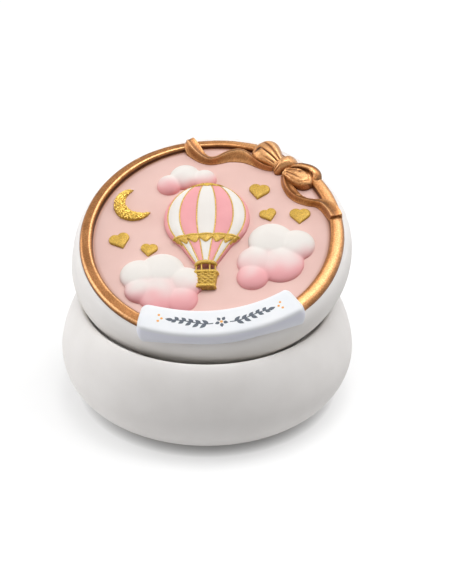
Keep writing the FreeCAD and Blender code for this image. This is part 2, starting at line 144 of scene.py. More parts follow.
def lay_over(tree, share, under, over):
    """Colour that goes from under to over while a share goes from 0 to 1."""
    return wire(tree, "ShaderNodeMix", "Result", {"Factor": share, "A": under, "B": (*over, 1.0)},
                data_type="RGBA")


def cast_coat(name, main, shade, high_colour, low_colour, rough, mottle=0.11, grain=2.6, grain_depth=0.012,
              edge_wear=0.7):
    """Matt coat on cast resin: two cloudy tones, a fine grain and rubbed edges. Where the per-point attribute
    is above 0 it lays on the lighter colour, and where it is below 0 the darker one; it carries wear, washes
    and blush, and on some pieces painted highlights and painted shade.
    """
    finish = bpy.data.materials.new(name)
    finish.use_nodes = True
    tree = finish.node_tree
    place = wire(tree, "ShaderNodeTexCoord", "Object", {})
    in_mm = wire(tree, "ShaderNodeVectorMath", "Vector", {0: place, "Scale": 1 / MM}, operation="SCALE")
    cloudy, grainy = [wire(tree, "ShaderNodeTexNoise", "Fac",
                           {"Vector": in_mm, "Scale": scale, "Detail": detail})
                      for scale, detail in ((mottle, 4.0), (grain, 3.0))]
    colour = ramp(tree, cloudy, list(zip(TONE_PLACES, (shade, main))))
    paint_and_light = wire(tree, "ShaderNodeAttribute", "Fac", {}, attribute_name="paint_and_light")
    # High values lay on rubbed wear and painted highlights, low values washes, blush and painted shade.
    for full, paint_light_value in ((1.0, high_colour), (-1.0, low_colour)):
        colour = lay_over(tree, gauge(tree, paint_and_light, 0.0, full), colour, paint_light_value)
    pointed = wire(tree, "ShaderNodeNewGeometry", "Pointiness", {})
    colour = lay_over(tree, gauge(tree, pointed, *EDGE_POINTS, edge_wear), colour, high_colour)
    dull = wire(tree, "ShaderNodeMapRange", "Result",
                {"Value": grainy, "To Min": rough[0], "To Max": rough[1]})
    bump = wire(tree, "ShaderNodeBump", "Normal",
                {"Strength": GRAIN_BUMP, "Distance": grain_depth * MM, "Height": grainy})
    feed(tree, tree.nodes["Principled BSDF"],
         {"Base Color": colour, "Roughness": dull, "Normal": bump, "Specular IOR Level": COAT_SHINE})
    return finish


rim = (MOUTH + RIM_ROUND, BOWL_HEIGHT - RIM_ROUND)
bowl_outline = [(0, 0), (FOOT_RING, 0)]
bowl_outline += arc((BOWL_RADIUS - BELLY, BELLY), BELLY, -90, 0, 40)
for step in range(1, SHOULDER_STEPS + 1):
    turn = math.pi / 2 * step / SHOULDER_STEPS
    out = max(0.0, math.cos(turn)) ** (2 / SHOULDER_FULL)
    up = math.sin(turn) ** (2 / SHOULDER_FULL)
    bowl_outline.append((rim[0] + (BOWL_RADIUS - rim[0]) * out, BELLY + (BOWL_HEIGHT - BELLY) * up))
bowl_outline += arc(rim, RIM_ROUND, 90, 180, 8)[1:]
bowl_outline += [(MOUTH, level) for level in WALL_RINGS]
bowl_outline += arc((MOUTH - BOWL_CORNER, BOWL_FLOOR + BOWL_CORNER), BOWL_CORNER, 0, -90, 12)
bowl_outline += [(FLOOR_RING, BOWL_FLOOR), (0, BOWL_FLOOR)]
resin = cast_coat("matt_resin", RESIN, RESIN_SHADE, RESIN_RUBBED, RESIN_PAINTED_SHADE, RESIN_ROUGH)
bowl_form = turn_on_axis(bowl_outline, CAST_SIDES, CAST_SWAY)
bowl = set_piece("bowl", bowl_form, Matrix.Identity(4), [resin])
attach(bowl, "base")
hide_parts("base_bowl")


# Lid: a loose pebble of the same cast resin, with a plug below that drops into the bowl's mouth and a
# shallow recess above for the panel. It leans on the bowl with its front edge down inside the rim.
LID_LEAN, LID_SPIN, PANEL_MIDDLE = 20.4, 14.0, 3.82
LID_RADIUS, LID_UNDER, UNDER_ROUND, EDGE_ROUND = 33.25, 7.3, 11.0, 1.2
CROWN, CROWN_ROUND, LAND = 4.57, 6.62, 31.42
PLUG_RADIUS, PLUG_BOTTOM, PLUG_ROUND, PLUG_FILLET = 27.8, -12.6, 0.8, 0.3
RECESS, RECESS_FLOOR, LAND_EDGE, LID_RING = 28.52, 3.27, 0.4, 14.0
SWELL, SWELL_DEPTH = 1.05, 3.0
SWELL_BEGIN, SWELL_FULL, SWELL_FALL, SWELL_END = 136, 168, 200, 246
TUCK, TUCK_ANGLE, TUCK_SPAN, TUCK_DEPTHS = 1.7, 268, 46, (2.0, 6.8)
# The under and front tones darken the lid's lower belly all round and more at the front, where it dips into
# the bowl: painted shade.
UNDER_PAINTED_SHADE, UNDER_PAINTED_SHADE_DEPTHS = 0.5, (0.3, 4.5)
FRONT_PAINTED_SHADE, FRONT_PAINTED_SHADE_DEPTHS = 0.55, (-4.0, 0.5)


def ease(low, high, value):
    """Smooth rise from 0 to 1 as a value goes from low to high."""
    share = max(0.0, min(1.0, (value - low) / (high - low)))
    return share * share * (3 - 2 * share)


def near(value, middle, span):
    """1 where a value is at the middle, falling smoothly towards 0 over a span on both sides."""
    return math.exp(-((value - middle) / span) ** 2)


panel_low, panel_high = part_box("medallion_panel")
tilt = Matrix.Rotation(math.radians(LID_LEAN), 4, "X") @ Matrix.Rotation(math.radians(LID_SPIN), 4, "Z")
panel_middle = (panel_low + panel_high) / 2
lid_place = Matrix.Translation(panel_middle - tilt @ Vector((0, 0, PANEL_MIDDLE * MM))) @ tilt
under_turn = math.degrees(math.asin((LID_UNDER - EDGE_ROUND) / (UNDER_ROUND - EDGE_ROUND)))
under_middle = (LID_RADIUS - UNDER_ROUND, 0)
edge_middle = arc(under_middle, UNDER_ROUND - EDGE_ROUND, -under_turn, -under_turn, 1)[0]
crown_turn = math.degrees(math.asin(CROWN / CROWN_ROUND))
lid_outline = [(0, PLUG_BOTTOM), (LID_RING, PLUG_BOTTOM)]
lid_outline += arc((PLUG_RADIUS - PLUG_ROUND, PLUG_BOTTOM + PLUG_ROUND), PLUG_ROUND, -90, 0, 8)
lid_outline += [(PLUG_RADIUS, -LID_UNDER - PLUG_FILLET), (PLUG_RADIUS + PLUG_FILLET, -LID_UNDER)]
lid_outline += arc(edge_middle, EDGE_ROUND, -90, -under_turn, 8)
lid_outline += arc(under_middle, UNDER_ROUND, -under_turn, 0, 22)[1:]
lid_outline += arc((LID_RADIUS - CROWN_ROUND, 0), CROWN_ROUND, 0, crown_turn, 22)[1:]
lid_outline += [(LAND - LAND_EDGE, CROWN), (RECESS, CROWN), (RECESS, RECESS_FLOOR)]
lid_outline += [(LID_RING, RECESS_FLOOR), (0, RECESS_FLOOR)]
lid_form = turn_on_axis(lid_outline, CAST_SIDES, CAST_SWAY)
lid_painted_shade = lid_form.verts.layers.float.new("paint_and_light")
for point in lid_form.verts:
    angle = math.degrees(math.atan2(point.co.y, point.co.x)) % 360
    swell = ease(SWELL_BEGIN, SWELL_FULL, angle) * (1 - ease(SWELL_FALL, SWELL_END, angle))
    swell *= min(1.0, max(0.0, -point.co.z / SWELL_DEPTH))
    front = near(angle, TUCK_ANGLE, TUCK_SPAN)
    tuck = front * ease(*TUCK_DEPTHS, -point.co.z)
    if point.co.xy.length > PLUG_RADIUS + 0.2:
        # Painted shade: outside the plug the lower belly goes darker and warmer with depth, most at the
        # front.
        painted_shade = UNDER_PAINTED_SHADE * ease(*UNDER_PAINTED_SHADE_DEPTHS, -point.co.z)
        painted_shade += FRONT_PAINTED_SHADE * front * ease(*FRONT_PAINTED_SHADE_DEPTHS, -point.co.z)
        point[lid_painted_shade] = -min(1.0, painted_shade)
        point.co.xy *= 1 + (SWELL * swell - TUCK * tuck) / point.co.xy.length
lid = set_piece("lid", lid_form, lid_place, [resin])
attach(lid, "lid")
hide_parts("lid_body")


# Panel: the round ground of the relief in the lid's recess. It is brushed with matt pale pink paint that
# gathers in a darker line along the frame.
PANEL_RADIUS, PANEL_TOP, PANEL_SIDES, PANEL_UNEVEN = 28.42, 4.37, 160, 0.02
PANEL_INNER, PANEL_RINGS, DARK_LINE = 26.5, 16, 27.2
PINK, PINK_SHADE, PINK_ROUGH = (0.745, 0.508, 0.457), (0.71, 0.472, 0.422), (0.5, 0.65)
PINK_RUBBED, PINK_GRIME = (0.87, 0.65, 0.6), (0.5, 0.25, 0.17)

panel_outline = [(0, RECESS_FLOOR), (PANEL_RADIUS, RECESS_FLOOR), (PANEL_RADIUS, PANEL_TOP)]
panel_outline += [(PANEL_RADIUS - 0.3 * step, PANEL_TOP) for step in range(1, 6)]
panel_outline += [(PANEL_INNER * (1 - step / PANEL_RINGS), PANEL_TOP) for step in range(PANEL_RINGS + 1)]
panel_form = turn_on_axis(panel_outline, PANEL_SIDES, 0.0)
panel_wear = panel_form.verts.layers.float.new("paint_and_light")
for point in panel_form.verts:
    if point.co.z > PANEL_TOP - 0.01:
        uneven = noise.noise(Vector((point.co.x * 0.2, point.co.y * 0.2, 3.0)))
        point.co.z -= PANEL_UNEVEN * (1 + uneven)
        point[panel_wear] = -max(0.0, min(1.0, point.co.xy.length - DARK_LINE))
pink_paint = cast_coat("pink_paint", PINK, PINK_SHADE, PINK_RUBBED, PINK_GRIME, PINK_ROUGH, edge_wear=0.0)
panel = set_piece("panel", panel_form, lid_place, [pink_paint])
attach(panel, "lid")
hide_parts("medallion_panel")


# Gilt frame: a round-shouldered moulding cast on the land of the lid and brushed with copper-gold paint. A
# dark wash stays along its foot, highlight lines and a broad sheen are painted on its shoulders with painted
# shade on the flat at the left, and the banner breaks it in front.
FRAME_INNER, FRAME_OUTER, FRAME_HEIGHT, FRAME_SHOULDER, FRAME_FALL = 28.12, 31.32, 1.5, 4.2, 0.12
FRAME_BEGIN, FRAME_END, FRAME_STEPS, FRAME_POINTS = -52.2, 232.2, 280, 30
FRAME_SLIM, SLIM_ANGLE, SLIM_SPAN = 0.34, 82, 34
FRAME_NECK, NECK_ANGLE, NECK_SPAN = 0.42, 44, 8
FRAME_STOUT, STOUT_ANGLE, STOUT_SPAN, STOUT_FALL = 0.5, -38, 34, 0.8
FRAME_WANDER, FRAME_SINK, FRAME_TUCK = 0.05, 0.25, 0.99
# The inner and outer lines are painted highlight lines, the sheen is a painted sheen at the right, and the
# flat at the left gets painted shade; the foot wash is the dark wash at the feet.
INNER_LINE, INNER_LINE_HALF, OUTER_LINE, OUTER_LINE_HALF = -0.55, 0.2, 0.72, 0.24
SHEEN, SHEEN_HALF, PAINTED_SHEEN, FLAT_PAINTED_SHADE, FOOT_WASH = 0.3, 0.7, 0.7, 0.22, 0.86
LEFT_TURNS, FRONT_LEFT_TURNS = (50, 110), (160, 205)
GILT, GILT_SHADE, GILT_METAL, GILT_ROUGH = (0.46, 0.2, 0.066), (0.33, 0.135, 0.04), 0.62, (0.24, 0.44)
# The bright gilt colour is both rubbed gilding and painted highlights, the wash colour both the dark wash and
# painted shade.
GILT_RUBBED_AND_HIGHLIGHT, GILT_WASH_AND_SHADE = (0.72, 0.4, 0.18), (0.06, 0.022, 0.008)
WASH_HOLLOWS, GILT_SHINE, SPECK_SCALE, SPECK_DETAIL = (0.495, 0.44), 0.4, 3.2, 2.0
SPECK_TONES = [(0.3, (0.66, 0.62, 0.58)), (0.55, (1.0, 1.0, 1.0)), (0.75, (1.3, 1.3, 1.3))]


def gilding(name, main, shade, bright, dark_colour, metal, rough):
    """Brushed metal paint: streaky tones, bright where it is rubbed and where highlights are painted, dark
    where the wash stays and where shade is painted.
    """
    finish = cast_coat(name, main, shade, bright, dark_colour, rough, mottle=0.35, grain=1.7, grain_depth=0.03)
    tree = finish.node_tree
    coat = tree.nodes["Principled BSDF"]
    laid = coat.inputs["Base Color"].links[0].from_socket
    pointed = wire(tree, "ShaderNodeNewGeometry", "Pointiness", {})
    stained = lay_over(tree, gauge(tree, pointed, *WASH_HOLLOWS), laid, dark_colour)
    place = wire(tree, "ShaderNodeTexCoord", "Object", {})
    specks = wire(tree, "ShaderNodeTexNoise", "Fac",
                  {"Vector": place, "Scale": SPECK_SCALE / MM, "Detail": SPECK_DETAIL})
    brushed = wire(tree, "ShaderNodeMix", "Result",
                   {"Factor": 1.0, "A": stained, "B": ramp(tree, specks, SPECK_TONES)},
                   data_type="RGBA", blend_type="MULTIPLY")
    feed(tree, coat, {"Base Color": brushed, "Metallic": metal, "Specular IOR Level": GILT_SHINE})
    return finish


def bridge(skin, rings):
    """Face a row of closed rings of corners, and close both ends."""
    for one, two in zip(rings, rings[1:]):
        for step in range(len(one)):
            after = (step + 1) % len(one)
            skin.faces.new((one[step], one[after], two[after], two[step]))
    skin.faces.new(rings[0][::-1])
    skin.faces.new(rings[-1])


def add_ring(skin, paint_and_light, points_with_paint_and_light):
    """Add the corners of one ring, each given as (point, paint-and-light value)."""
    ring = []
    for point, paint_light_value in points_with_paint_and_light:
        corner = skin.verts.new(point)
        corner[paint_and_light] = paint_light_value
        ring.append(corner)
    return ring


def sweep(sections):
    """Skin over a row of sections, each a list of (point, paint-and-light value) with the same count."""
    skin = bmesh.new()
    paint_and_light = skin.verts.layers.float.new("paint_and_light")
    bridge(skin, [add_ring(skin, paint_and_light, section) for section in sections])
    return skin


def frame_rise(out):
    """Height of the moulding above its land; out goes from -1 beside the panel to 1 at the lid's edge."""
    return FRAME_HEIGHT * (1 - abs(out) ** FRAME_SHOULDER) ** 0.55 * (1 - FRAME_FALL * (out + 0.5))


def frame_paint_and_light(out, turn):
    """Paint and painted light on the gilding: highlight lines painted along the shoulders at the left, a
    broad painted sheen at the right, painted shade on the flat at the left, and a dark wash at the feet.
    """
    left, front_left = ease(*LEFT_TURNS, turn), ease(*FRONT_LEFT_TURNS, turn)
    lines = left * max(0.0, 1 - abs(out - INNER_LINE) / INNER_LINE_HALF)
    lines += front_left * max(0.0, 1 - abs(out - OUTER_LINE) / OUTER_LINE_HALF)
    sheen = PAINTED_SHEEN * (1 - left) * max(0.0, 1 - abs(out - SHEEN) / SHEEN_HALF)
    foot = max(0.0, (abs(out) - FOOT_WASH) / (1 - FOOT_WASH)) * (1.0 if out < 0 else 0.5)
    return max(lines, sheen) - FLAT_PAINTED_SHADE * left * (1 - min(1.0, lines)) - foot


frame_sections = []
for step in range(FRAME_STEPS + 1):
    turn = FRAME_BEGIN + (FRAME_END - FRAME_BEGIN) * step / FRAME_STEPS
    around = Vector((math.cos(math.radians(turn)), math.sin(math.radians(turn)), 0))
    wander = FRAME_WANDER * noise.noise(around * 4.0)
    slim = 1 - FRAME_SLIM * near(turn, SLIM_ANGLE, SLIM_SPAN) - FRAME_NECK * near(turn, NECK_ANGLE, NECK_SPAN)
    stout = FRAME_STOUT * near(turn, STOUT_ANGLE, STOUT_SPAN)
    thick = slim + FRAME_WANDER * noise.noise(around * 7.0 + Vector((5, 0, 0)))
    section = []
    for count in range(FRAME_POINTS + 1):
        out = math.cos(math.pi * count / FRAME_POINTS)
        width = (FRAME_OUTER - FRAME_INNER) * slim + stout
        radius = FRAME_INNER + width * (1 + FRAME_TUCK * out) / 2 + wander
        rise = frame_rise(FRAME_TUCK * out) * thick * 0.97 - STOUT_FALL * stout * max(0.0, out) ** 2
        section.append((around * radius + Vector((0, 0, CROWN + rise)), frame_paint_and_light(out, turn)))
    for radius, sink in ((FRAME_INNER, FRAME_SINK), (FRAME_OUTER + stout, FRAME_SINK + STOUT_FALL * stout)):
        section.append((around * radius + Vector((0, 0, CROWN - sink)), -1.0))
    frame_sections.append(section)
gilt = gilding("copper_gilt", GILT, GILT_SHADE, GILT_RUBBED_AND_HIGHLIGHT, GILT_WASH_AND_SHADE, GILT_METAL, GILT_ROUGH)
gilt_frame = set_piece("gilt_frame_ring", sweep(frame_sections), lid_place, [gilt])
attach(gilt_frame, "lid")
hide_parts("gilt_frame")


# Banner: a curved tablet cast over the front of the frame, with soft edges and a side that spreads down onto
# the lid's shoulder. It is sprayed satin white, and painted shade darkens and cools its side, the foot of its
# back edge and its feet.
BANNER_MIDDLE_Y, BANNER_OUTER, BANNER_INNER = 9.48, 41.0, 33.5
BANNER_HALF, BANNER_FACE, BANNER_CROWN, BANNER_LIFT, BANNER_SOFT = 26.6, 7.22, 0.12, 0.15, 1.0
BANNER_ROLL, BANNER_CORNER, BANNER_BULGE, BANNER_EDGE = 2.3, 1.3, 0.3, 1.2
BANNER_LEAN, BANNER_DIP, BANNER_FOOT, BANNER_SINK = 2.6, 0.7, 31.8, 0.3
BROW_IN, BROW_DROP, BROW_SPREAD, SIDE_STEPS = 0.08, 0.52, 0.12, 7
ROLL_SHARES = (0.2, 0.4, 0.6, 0.75, 0.87, 0.95, 1.0)
# Across the banner's back and front edges: distance in from the edge, drop below the face, and
# paint-and-light value, rubbed lighter along the edges and painted shade at the foot of the back edge.
BANNER_BACK = [(0.0, 1.1, -0.5), (0.0, 0.5, 0.0), (0.1, 0.2, 0.5), (0.35, 0.04, 0.3), (1.2, 0.0, 0.0)]
BANNER_FRONT = [(0.8, 0.03, 0.2), (0.45, 0.14, 0.3), (0.18, 0.36, 0.1)]
WHITE, WHITE_SHADE, WHITE_ROUGH = (0.795, 0.803, 0.82), (0.742, 0.762, 0.796), (0.36, 0.5)
WHITE_RUBBED, WHITE_PAINTED_SHADE = (0.88, 0.89, 0.91), (0.75, 0.75, 0.88)


def lid_skin(radius):
    """Height of the lid's bare upper side at a radius."""
    if radius <= LAND:
        return CROWN
    return math.sqrt(max(0.0, CROWN_ROUND ** 2 - (radius - LID_RADIUS + CROWN_ROUND) ** 2))


def left_end(turn):
    """0 over most of the banner, rising to 1 at its left end."""
    return max(0.0, -turn / (BANNER_HALF + BANNER_ROLL)) ** 6


def banner_spot(reach, turn):
    """Point over the lid at a reach from the banner's own middle and a turn from its axis in degrees."""
    lean = BANNER_LEAN * left_end(turn) * (BANNER_OUTER - reach) / (BANNER_OUTER - BANNER_INNER)
    angle = math.radians(turn - lean - 90)
    return Vector((reach * math.cos(angle), BANNER_MIDDLE_Y + reach * math.sin(angle), 0))


def banner_level(reach, turn):
    """Height of the banner's slightly crowned upper face."""
    across = (reach - BANNER_INNER) / (BANNER_OUTER - BANNER_INNER) * 2 - 1
    return BANNER_FACE - BANNER_CROWN * across ** 2 + BANNER_LIFT * (turn / BANNER_HALF) ** 2


banner_stations = [(BANNER_HALF * (step / 32 - 1), 0.0) for step in range(65)]
for share in ROLL_SHARES:
    rolled = 1 - math.sqrt(1 - share ** 2)
    banner_stations.insert(0, (-BANNER_HALF - BANNER_ROLL * share, rolled))
    banner_stations.append((BANNER_HALF + BANNER_ROLL * share, rolled))
banner_sections = []
for turn, rolled in banner_stations:
    shrink = BANNER_SOFT * rolled
    inner = BANNER_INNER + BANNER_CORNER * rolled + BANNER_DIP * left_end(turn)
    outer = BANNER_OUTER - BANNER_CORNER * rolled
    width = outer - inner - 2 * BANNER_EDGE
    across = [(inner + set_in, drop, paint_light_value) for set_in, drop, paint_light_value in BANNER_BACK]
    across += [(inner + BANNER_EDGE + width * count / 8, 0.0, 0.0) for count in range(1, 9)]
    across += [(outer - set_in, drop, paint_light_value) for set_in, drop, paint_light_value in BANNER_FRONT]
    section = []
    for reach, drop, paint_light_value in across:
        spot = banner_spot(reach, turn)
        spot.z = banner_level(reach, turn) - drop - shrink
        section.append((spot, paint_light_value))
    brow = banner_spot(outer - BROW_IN, turn)
    brow.z = banner_level(outer, turn) - BROW_DROP - shrink
    foot_radius = max(BANNER_FOOT, brow.xy.length + BROW_SPREAD)
    foot = Vector((*(brow.xy.normalized() * foot_radius), lid_skin(foot_radius) - 0.1))
    for count in range(1, SIDE_STEPS + 1):
        spot = brow.lerp(foot, count / SIDE_STEPS)
        spot.xy *= 1 + BANNER_BULGE * math.sin(math.pi * count / SIDE_STEPS) / spot.xy.length
        # The side is darkened and cooled with painted shade, most under the brow.
        section.append((spot, -0.65 + 0.3 * count / SIDE_STEPS))
    for reach in (outer - 1.5, inner):
        spot = banner_spot(reach, turn)
        spot.z = min(lid_skin(spot.xy.length), PANEL_TOP) - BANNER_SINK
        # The feet get painted shade.
        section.append((spot, -0.5))
    banner_sections.append(section)
white_paint = cast_coat("satin_white", WHITE, WHITE_SHADE, WHITE_RUBBED, WHITE_PAINTED_SHADE, WHITE_ROUGH)
banner = set_piece("banner_tablet", sweep(banner_sections), lid_place, [white_paint], crease=55)
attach(banner, "lid")
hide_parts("banner")


# Banner sprigs: two leafy sprigs either side of a small flower, laid on the banner with a pad printer in
# slate ink, and little orange berries at their ends.
SLATE, SLATE_SHADE, SLATE_RUBBED = (0.05, 0.062, 0.085), (0.038, 0.047, 0.066), (0.12, 0.14, 0.17)
BERRY, BERRY_SHADE, BERRY_RUBBED = (0.80, 0.33, 0.045), (0.70, 0.27, 0.03), (0.85, 0.45, 0.12)
SLATE_ROUGH, BERRY_ROUGH, INK_MOTTLE = (0.45, 0.6), (0.42, 0.55), 0.8
SPRIG_RISE, SPRIG_SINK, SPRIG_MIDDLE = 0.035, 0.06, 37.3
STEM_BEGIN, STEM_STEP, STEM_POINTS, STEM_HALF, STEM_SWAY = 1.9, 0.5, 20, 0.13, 0.4
LEAF_LENGTH, LEAF_HALF, LEAF_PAIRS, LEAF_BEGIN, LEAF_GAP = 1.9, 0.44, 5, 3.0, 1.75
LEAF_LEAN, LEAF_SHIFT, LEAF_TAPER, TIP_LEAF = 38, 0.5, 0.07, 11.2
BERRY_RADIUS, BERRY_SPOTS = 0.3, [(13.9, -0.15), (14.5, 0.75), (14.7, -0.95)]
PETALS, PETAL_ROOT, PETAL_LENGTH, PETAL_HALF, FLOWER_EYE = 5, 0.45, 1.15, 0.42, 0.36


def add_stroke(ink, outline):
    """Add a thin printed patch on the banner; the outline runs along it and towards its front edge."""
    rings = []
    for lift in (SPRIG_RISE, -SPRIG_SINK):
        ring = []
        for along, front in outline:
            reach, turn = SPRIG_MIDDLE + front, math.degrees(along / SPRIG_MIDDLE)
            corner = banner_spot(reach, turn)
            corner.z = banner_level(reach, turn) + lift
            ring.append(ink.verts.new(corner))
        rings.append(ring)
    top, bottom = rings
    ink.faces.new(top)
    ink.faces.new(bottom[::-1])
    for step in range(len(top)):
        after = (step + 1) % len(top)
        ink.faces.new((top[step], bottom[step], bottom[after], top[after]))


def leaf(root, angle, length, half):
    """Outline of a pointed leaf that leaves its root at an angle in degrees."""
    ahead = (math.cos(math.radians(angle)), math.sin(math.radians(angle)))
    sides = [(step / 8, 1) for step in range(9)] + [(step / 8, -1) for step in range(7, 0, -1)]
    outline = []
    for share, side in sides:
        out = side * half * math.sin(math.pi * share ** 0.8)
        outline.append((root[0] + ahead[0] * length * share - ahead[1] * out,
                        root[1] + ahead[1] * length * share + ahead[0] * out))
    return outline


def dot(middle, radius):
    """Outline of a round dot."""
    return arc(middle, radius, 0, 337.5, 15)


def stem_sway(along):
    """Gentle wave of a stem."""
    return STEM_SWAY * math.sin(along * 0.5)


ink, berries = bmesh.new(), bmesh.new()
for side in (-1, 1):
    ahead = 0 if side > 0 else 180
    stem = [STEM_BEGIN + STEM_STEP * step for step in range(STEM_POINTS)]
    add_stroke(ink, [(side * along, stem_sway(along) + STEM_HALF) for along in stem]
               + [(side * along, stem_sway(along) - STEM_HALF) for along in stem[::-1]])
    for count in range(LEAF_PAIRS):
        along = LEAF_BEGIN + LEAF_GAP * count
        length = LEAF_LENGTH * (1 - LEAF_TAPER * count)
        for lean, shift in ((LEAF_LEAN, LEAF_SHIFT), (-LEAF_LEAN, 0)):
            root = (side * (along + shift), stem_sway(along))
            add_stroke(ink, leaf(root, ahead + side * lean, length, LEAF_HALF))
    add_stroke(ink, leaf((side * TIP_LEAF, stem_sway(stem[-1])), ahead, LEAF_LENGTH, LEAF_HALF))
    for far, front in BERRY_SPOTS:
        add_stroke(berries, dot((side * far, front), BERRY_RADIUS))
for petal in range(PETALS):
    angle = 90 + 360 / PETALS * petal
    root = arc((0, 0), PETAL_ROOT, angle, angle, 1)[0]
    add_stroke(ink, leaf(root, angle, PETAL_LENGTH, PETAL_HALF))
add_stroke(berries, dot((0, 0), FLOWER_EYE))
slate_ink = cast_coat("slate_ink", SLATE, SLATE_SHADE, SLATE_RUBBED, SLATE_SHADE, SLATE_ROUGH, INK_MOTTLE)
berry_ink = cast_coat("berry_ink", BERRY, BERRY_SHADE, BERRY_RUBBED, BERRY_SHADE, BERRY_ROUGH, INK_MOTTLE)
sprigs = set_piece("banner_sprigs", ink, lid_place, [slate_ink])
berry_dots = set_piece("banner_berries", berries, lid_place, [berry_ink])
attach(sprigs, "lid")
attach(berry_dots, "lid")


# Ribbon bow: a knot and two puffed loops modelled on the frame in the same casting. Pleats run out of the
# knot and the wash stays in them with painted shade, their ridges are rubbed bright with a painted highlight,
# and the low edges of the loops and knot are darkened with painted shade.
BOW_FOOT, BOW_SINK = 4.2, 0.2
PILLOW_ROWS, PILLOW_COLUMNS, CREASE_DEPTH = 48, 52, 0.42
# The ridge rub lightens the crowns of the puffs as rubbing and a painted highlight, the crease wash darkens
# the creases as wash and painted shade, and the edge wash darkens the low edges as painted shade.
RIDGE_RUB_AND_HIGHLIGHT, CREASE_WASH_AND_SHADE, EDGE_PAINTED_SHADE, EDGE_DOME = 0.5, 3.2, 0.9, 0.6
KNOT_SPOT, KNOT_ANGLE, KNOT_HALF_LENGTH, KNOT_HALF_WIDTH, KNOT_RISE = (19.8, 19.2), 18.0, 3.15, 2.0, 3.5
KNOT_FULL, KNOT_FOLDS, KNOT_FOLD_SPAN = 2.8, (-0.5, 0.05, 0.55), 0.09
LEFT_ROOT, LEFT_ANGLE, LEFT_LENGTH, LEFT_FULL = (18.9, 18.9), 122.0, 9.2, 3.2
RIGHT_ROOT, RIGHT_ANGLE, RIGHT_LENGTH, RIGHT_FULL = (19.5, 17.2), -41.0, 7.7, 5.0
# Along a loop: size at the root, gain, where it is full, where it rounds off, how sharply and how far.
LEFT_WIDTH, LEFT_RISE = (1.7, 2.1, 0.7, 0.66, 2.4, 0.98), (2.2, 0.82, 0.5, 0.6, 2.6, 0.8)
RIGHT_WIDTH, RIGHT_RISE = (1.5, 0.95, 0.45, 0.55, 2.4, 0.97), (2.1, 0.7, 0.4, 0.7, 3, 0.6)
# Each pleat of the right loop: depth, place across, drift along, span, and where it fades.
RIGHT_PLEATS = [(0.45, 0.4, -0.1, 0.12, 0.25, 0.55), (0.5, -0.15, -0.2, 0.11, 0.35, 0.75),
                (0.5, -0.6, -0.15, 0.1, 0.4, 0.75)]
RIGHT_BAND = [(20.9, 18.2, 6.3), (21.8, 18.15, 6.65), (23.5, 17.7, 7.0), (25.4, 16.7, 7.1),
              (26.6, 15.5, 7.0), (26.9, 14.4, 6.7), (26.4, 13.5, 6.2), (25.3, 13.0, 5.6), (24.2, 12.9, 5.2)]
# Across the band: distance out from its line, drop below it (none for the foot), and paint-and-light value: a
# painted highlight on the inner lip, a painted dark reflection on the outer face, and dark at the feet.
BAND_PROFILE = [(-1.2, None, -1.0), (-1.2, 0.7, -0.8), (-1.02, 0.2, 0.1), (-0.7, 0.0, 0.8),
                (-0.15, 0.06, 0.1), (0.5, 0.16, -0.6), (1.0, 0.45, -0.75), (1.3, 1.1, -0.8),
                (1.3, None, -1.0)]


def skin_over(skin, paint_and_light, grid, foot_level, paints=None):
    """Face a grid of corners, each column in its paint, and drop a wall from its border to a flat foot."""
    for one, two in zip(grid, grid[1:]):
        for step in range(len(one) - 1):
            face = skin.faces.new((one[step], one[step + 1], two[step + 1], two[step]))
            if paints:
                face.material_index = paints[step]
    border = [line[0] for line in grid] + grid[-1][1:] + [line[-1] for line in grid[-2::-1]]
    border += grid[0][-2:0:-1]
    low = add_ring(skin, paint_and_light, [((corner.co.x, corner.co.y, foot_level), -1.0) for corner in border])
    for step in range(len(border)):
        after = (step + 1) % len(border)
        skin.faces.new((border[step], border[after], low[after], low[step]))
    skin.faces.new(low)


def pillow(spot, angle, length, half_width, rise, crease_depth, fullness):
    """Puffed cloth on the lid: half_width, rise and crease_depth are functions along it and across it."""
    skin = bmesh.new()
    paint_and_light = skin.verts.layers.float.new("paint_and_light")
    turn = Matrix.Translation((*spot, 0)) @ Matrix.Rotation(math.radians(angle), 4, "Z")
    grid = []
    for row in range(PILLOW_ROWS + 1):
        along = row / PILLOW_ROWS
        line = []
        for column in range(PILLOW_COLUMNS + 1):
            across = math.sin(math.pi * (column / PILLOW_COLUMNS - 0.5))
            dome = (1 - abs(across) ** fullness) ** 0.5
            depth = crease_depth(along, across) * dome
            level = BOW_FOOT + rise(along) * dome - CREASE_DEPTH * depth
            # Crowns lighter by rubbing and a painted highlight, creases darker by the wash and painted shade,
            # low edges darker by painted shade.
            paint_light_value = RIDGE_RUB_AND_HIGHLIGHT * dome * (1 - CREASE_WASH_AND_SHADE * depth) - EDGE_PAINTED_SHADE * max(0.0, 1 - dome / EDGE_DOME)
            line.append((turn @ Vector((along * length, across * half_width(along), level)), paint_light_value))
        grid.append(add_ring(skin, paint_and_light, line))
    skin_over(skin, paint_and_light, grid, BOW_FOOT - BOW_SINK)
    return skin


def puffed(along, root, gain, full, round_off, sharp, far):
    """Size along a puffed loop, which swells from its root and rounds off at its end."""
    end = max(0.0, (along - round_off) / (1 - round_off))
    return (root + gain * ease(0.0, full, along)) * (1 - far * end ** sharp) ** 0.5


def left_creases(along, across):
    """Creases of the left loop: a deep pleat, a soft hollow, a short tuck and the fold's open mouth."""
    gathered = ease(0.04, 0.2, along)
    pleat = gathered * near(across, 0.1 + 0.08 * along, 0.055) * (1 - ease(0.68, 0.82, along))
    hollow = near(across, -0.3, 0.1) - 0.7 * near(across, -0.5, 0.1)
    hollow *= 0.6 * gathered * (1 - ease(0.78, 0.95, along))
    tuck = 0.6 * gathered * near(across, 0.6, 0.07) * (1 - ease(0.3, 0.6, along))
    mouth = 1.5 * near(along, 0.8, 0.045) * near(across, 0.42, 0.27)
    return pleat + hollow + tuck + mouth


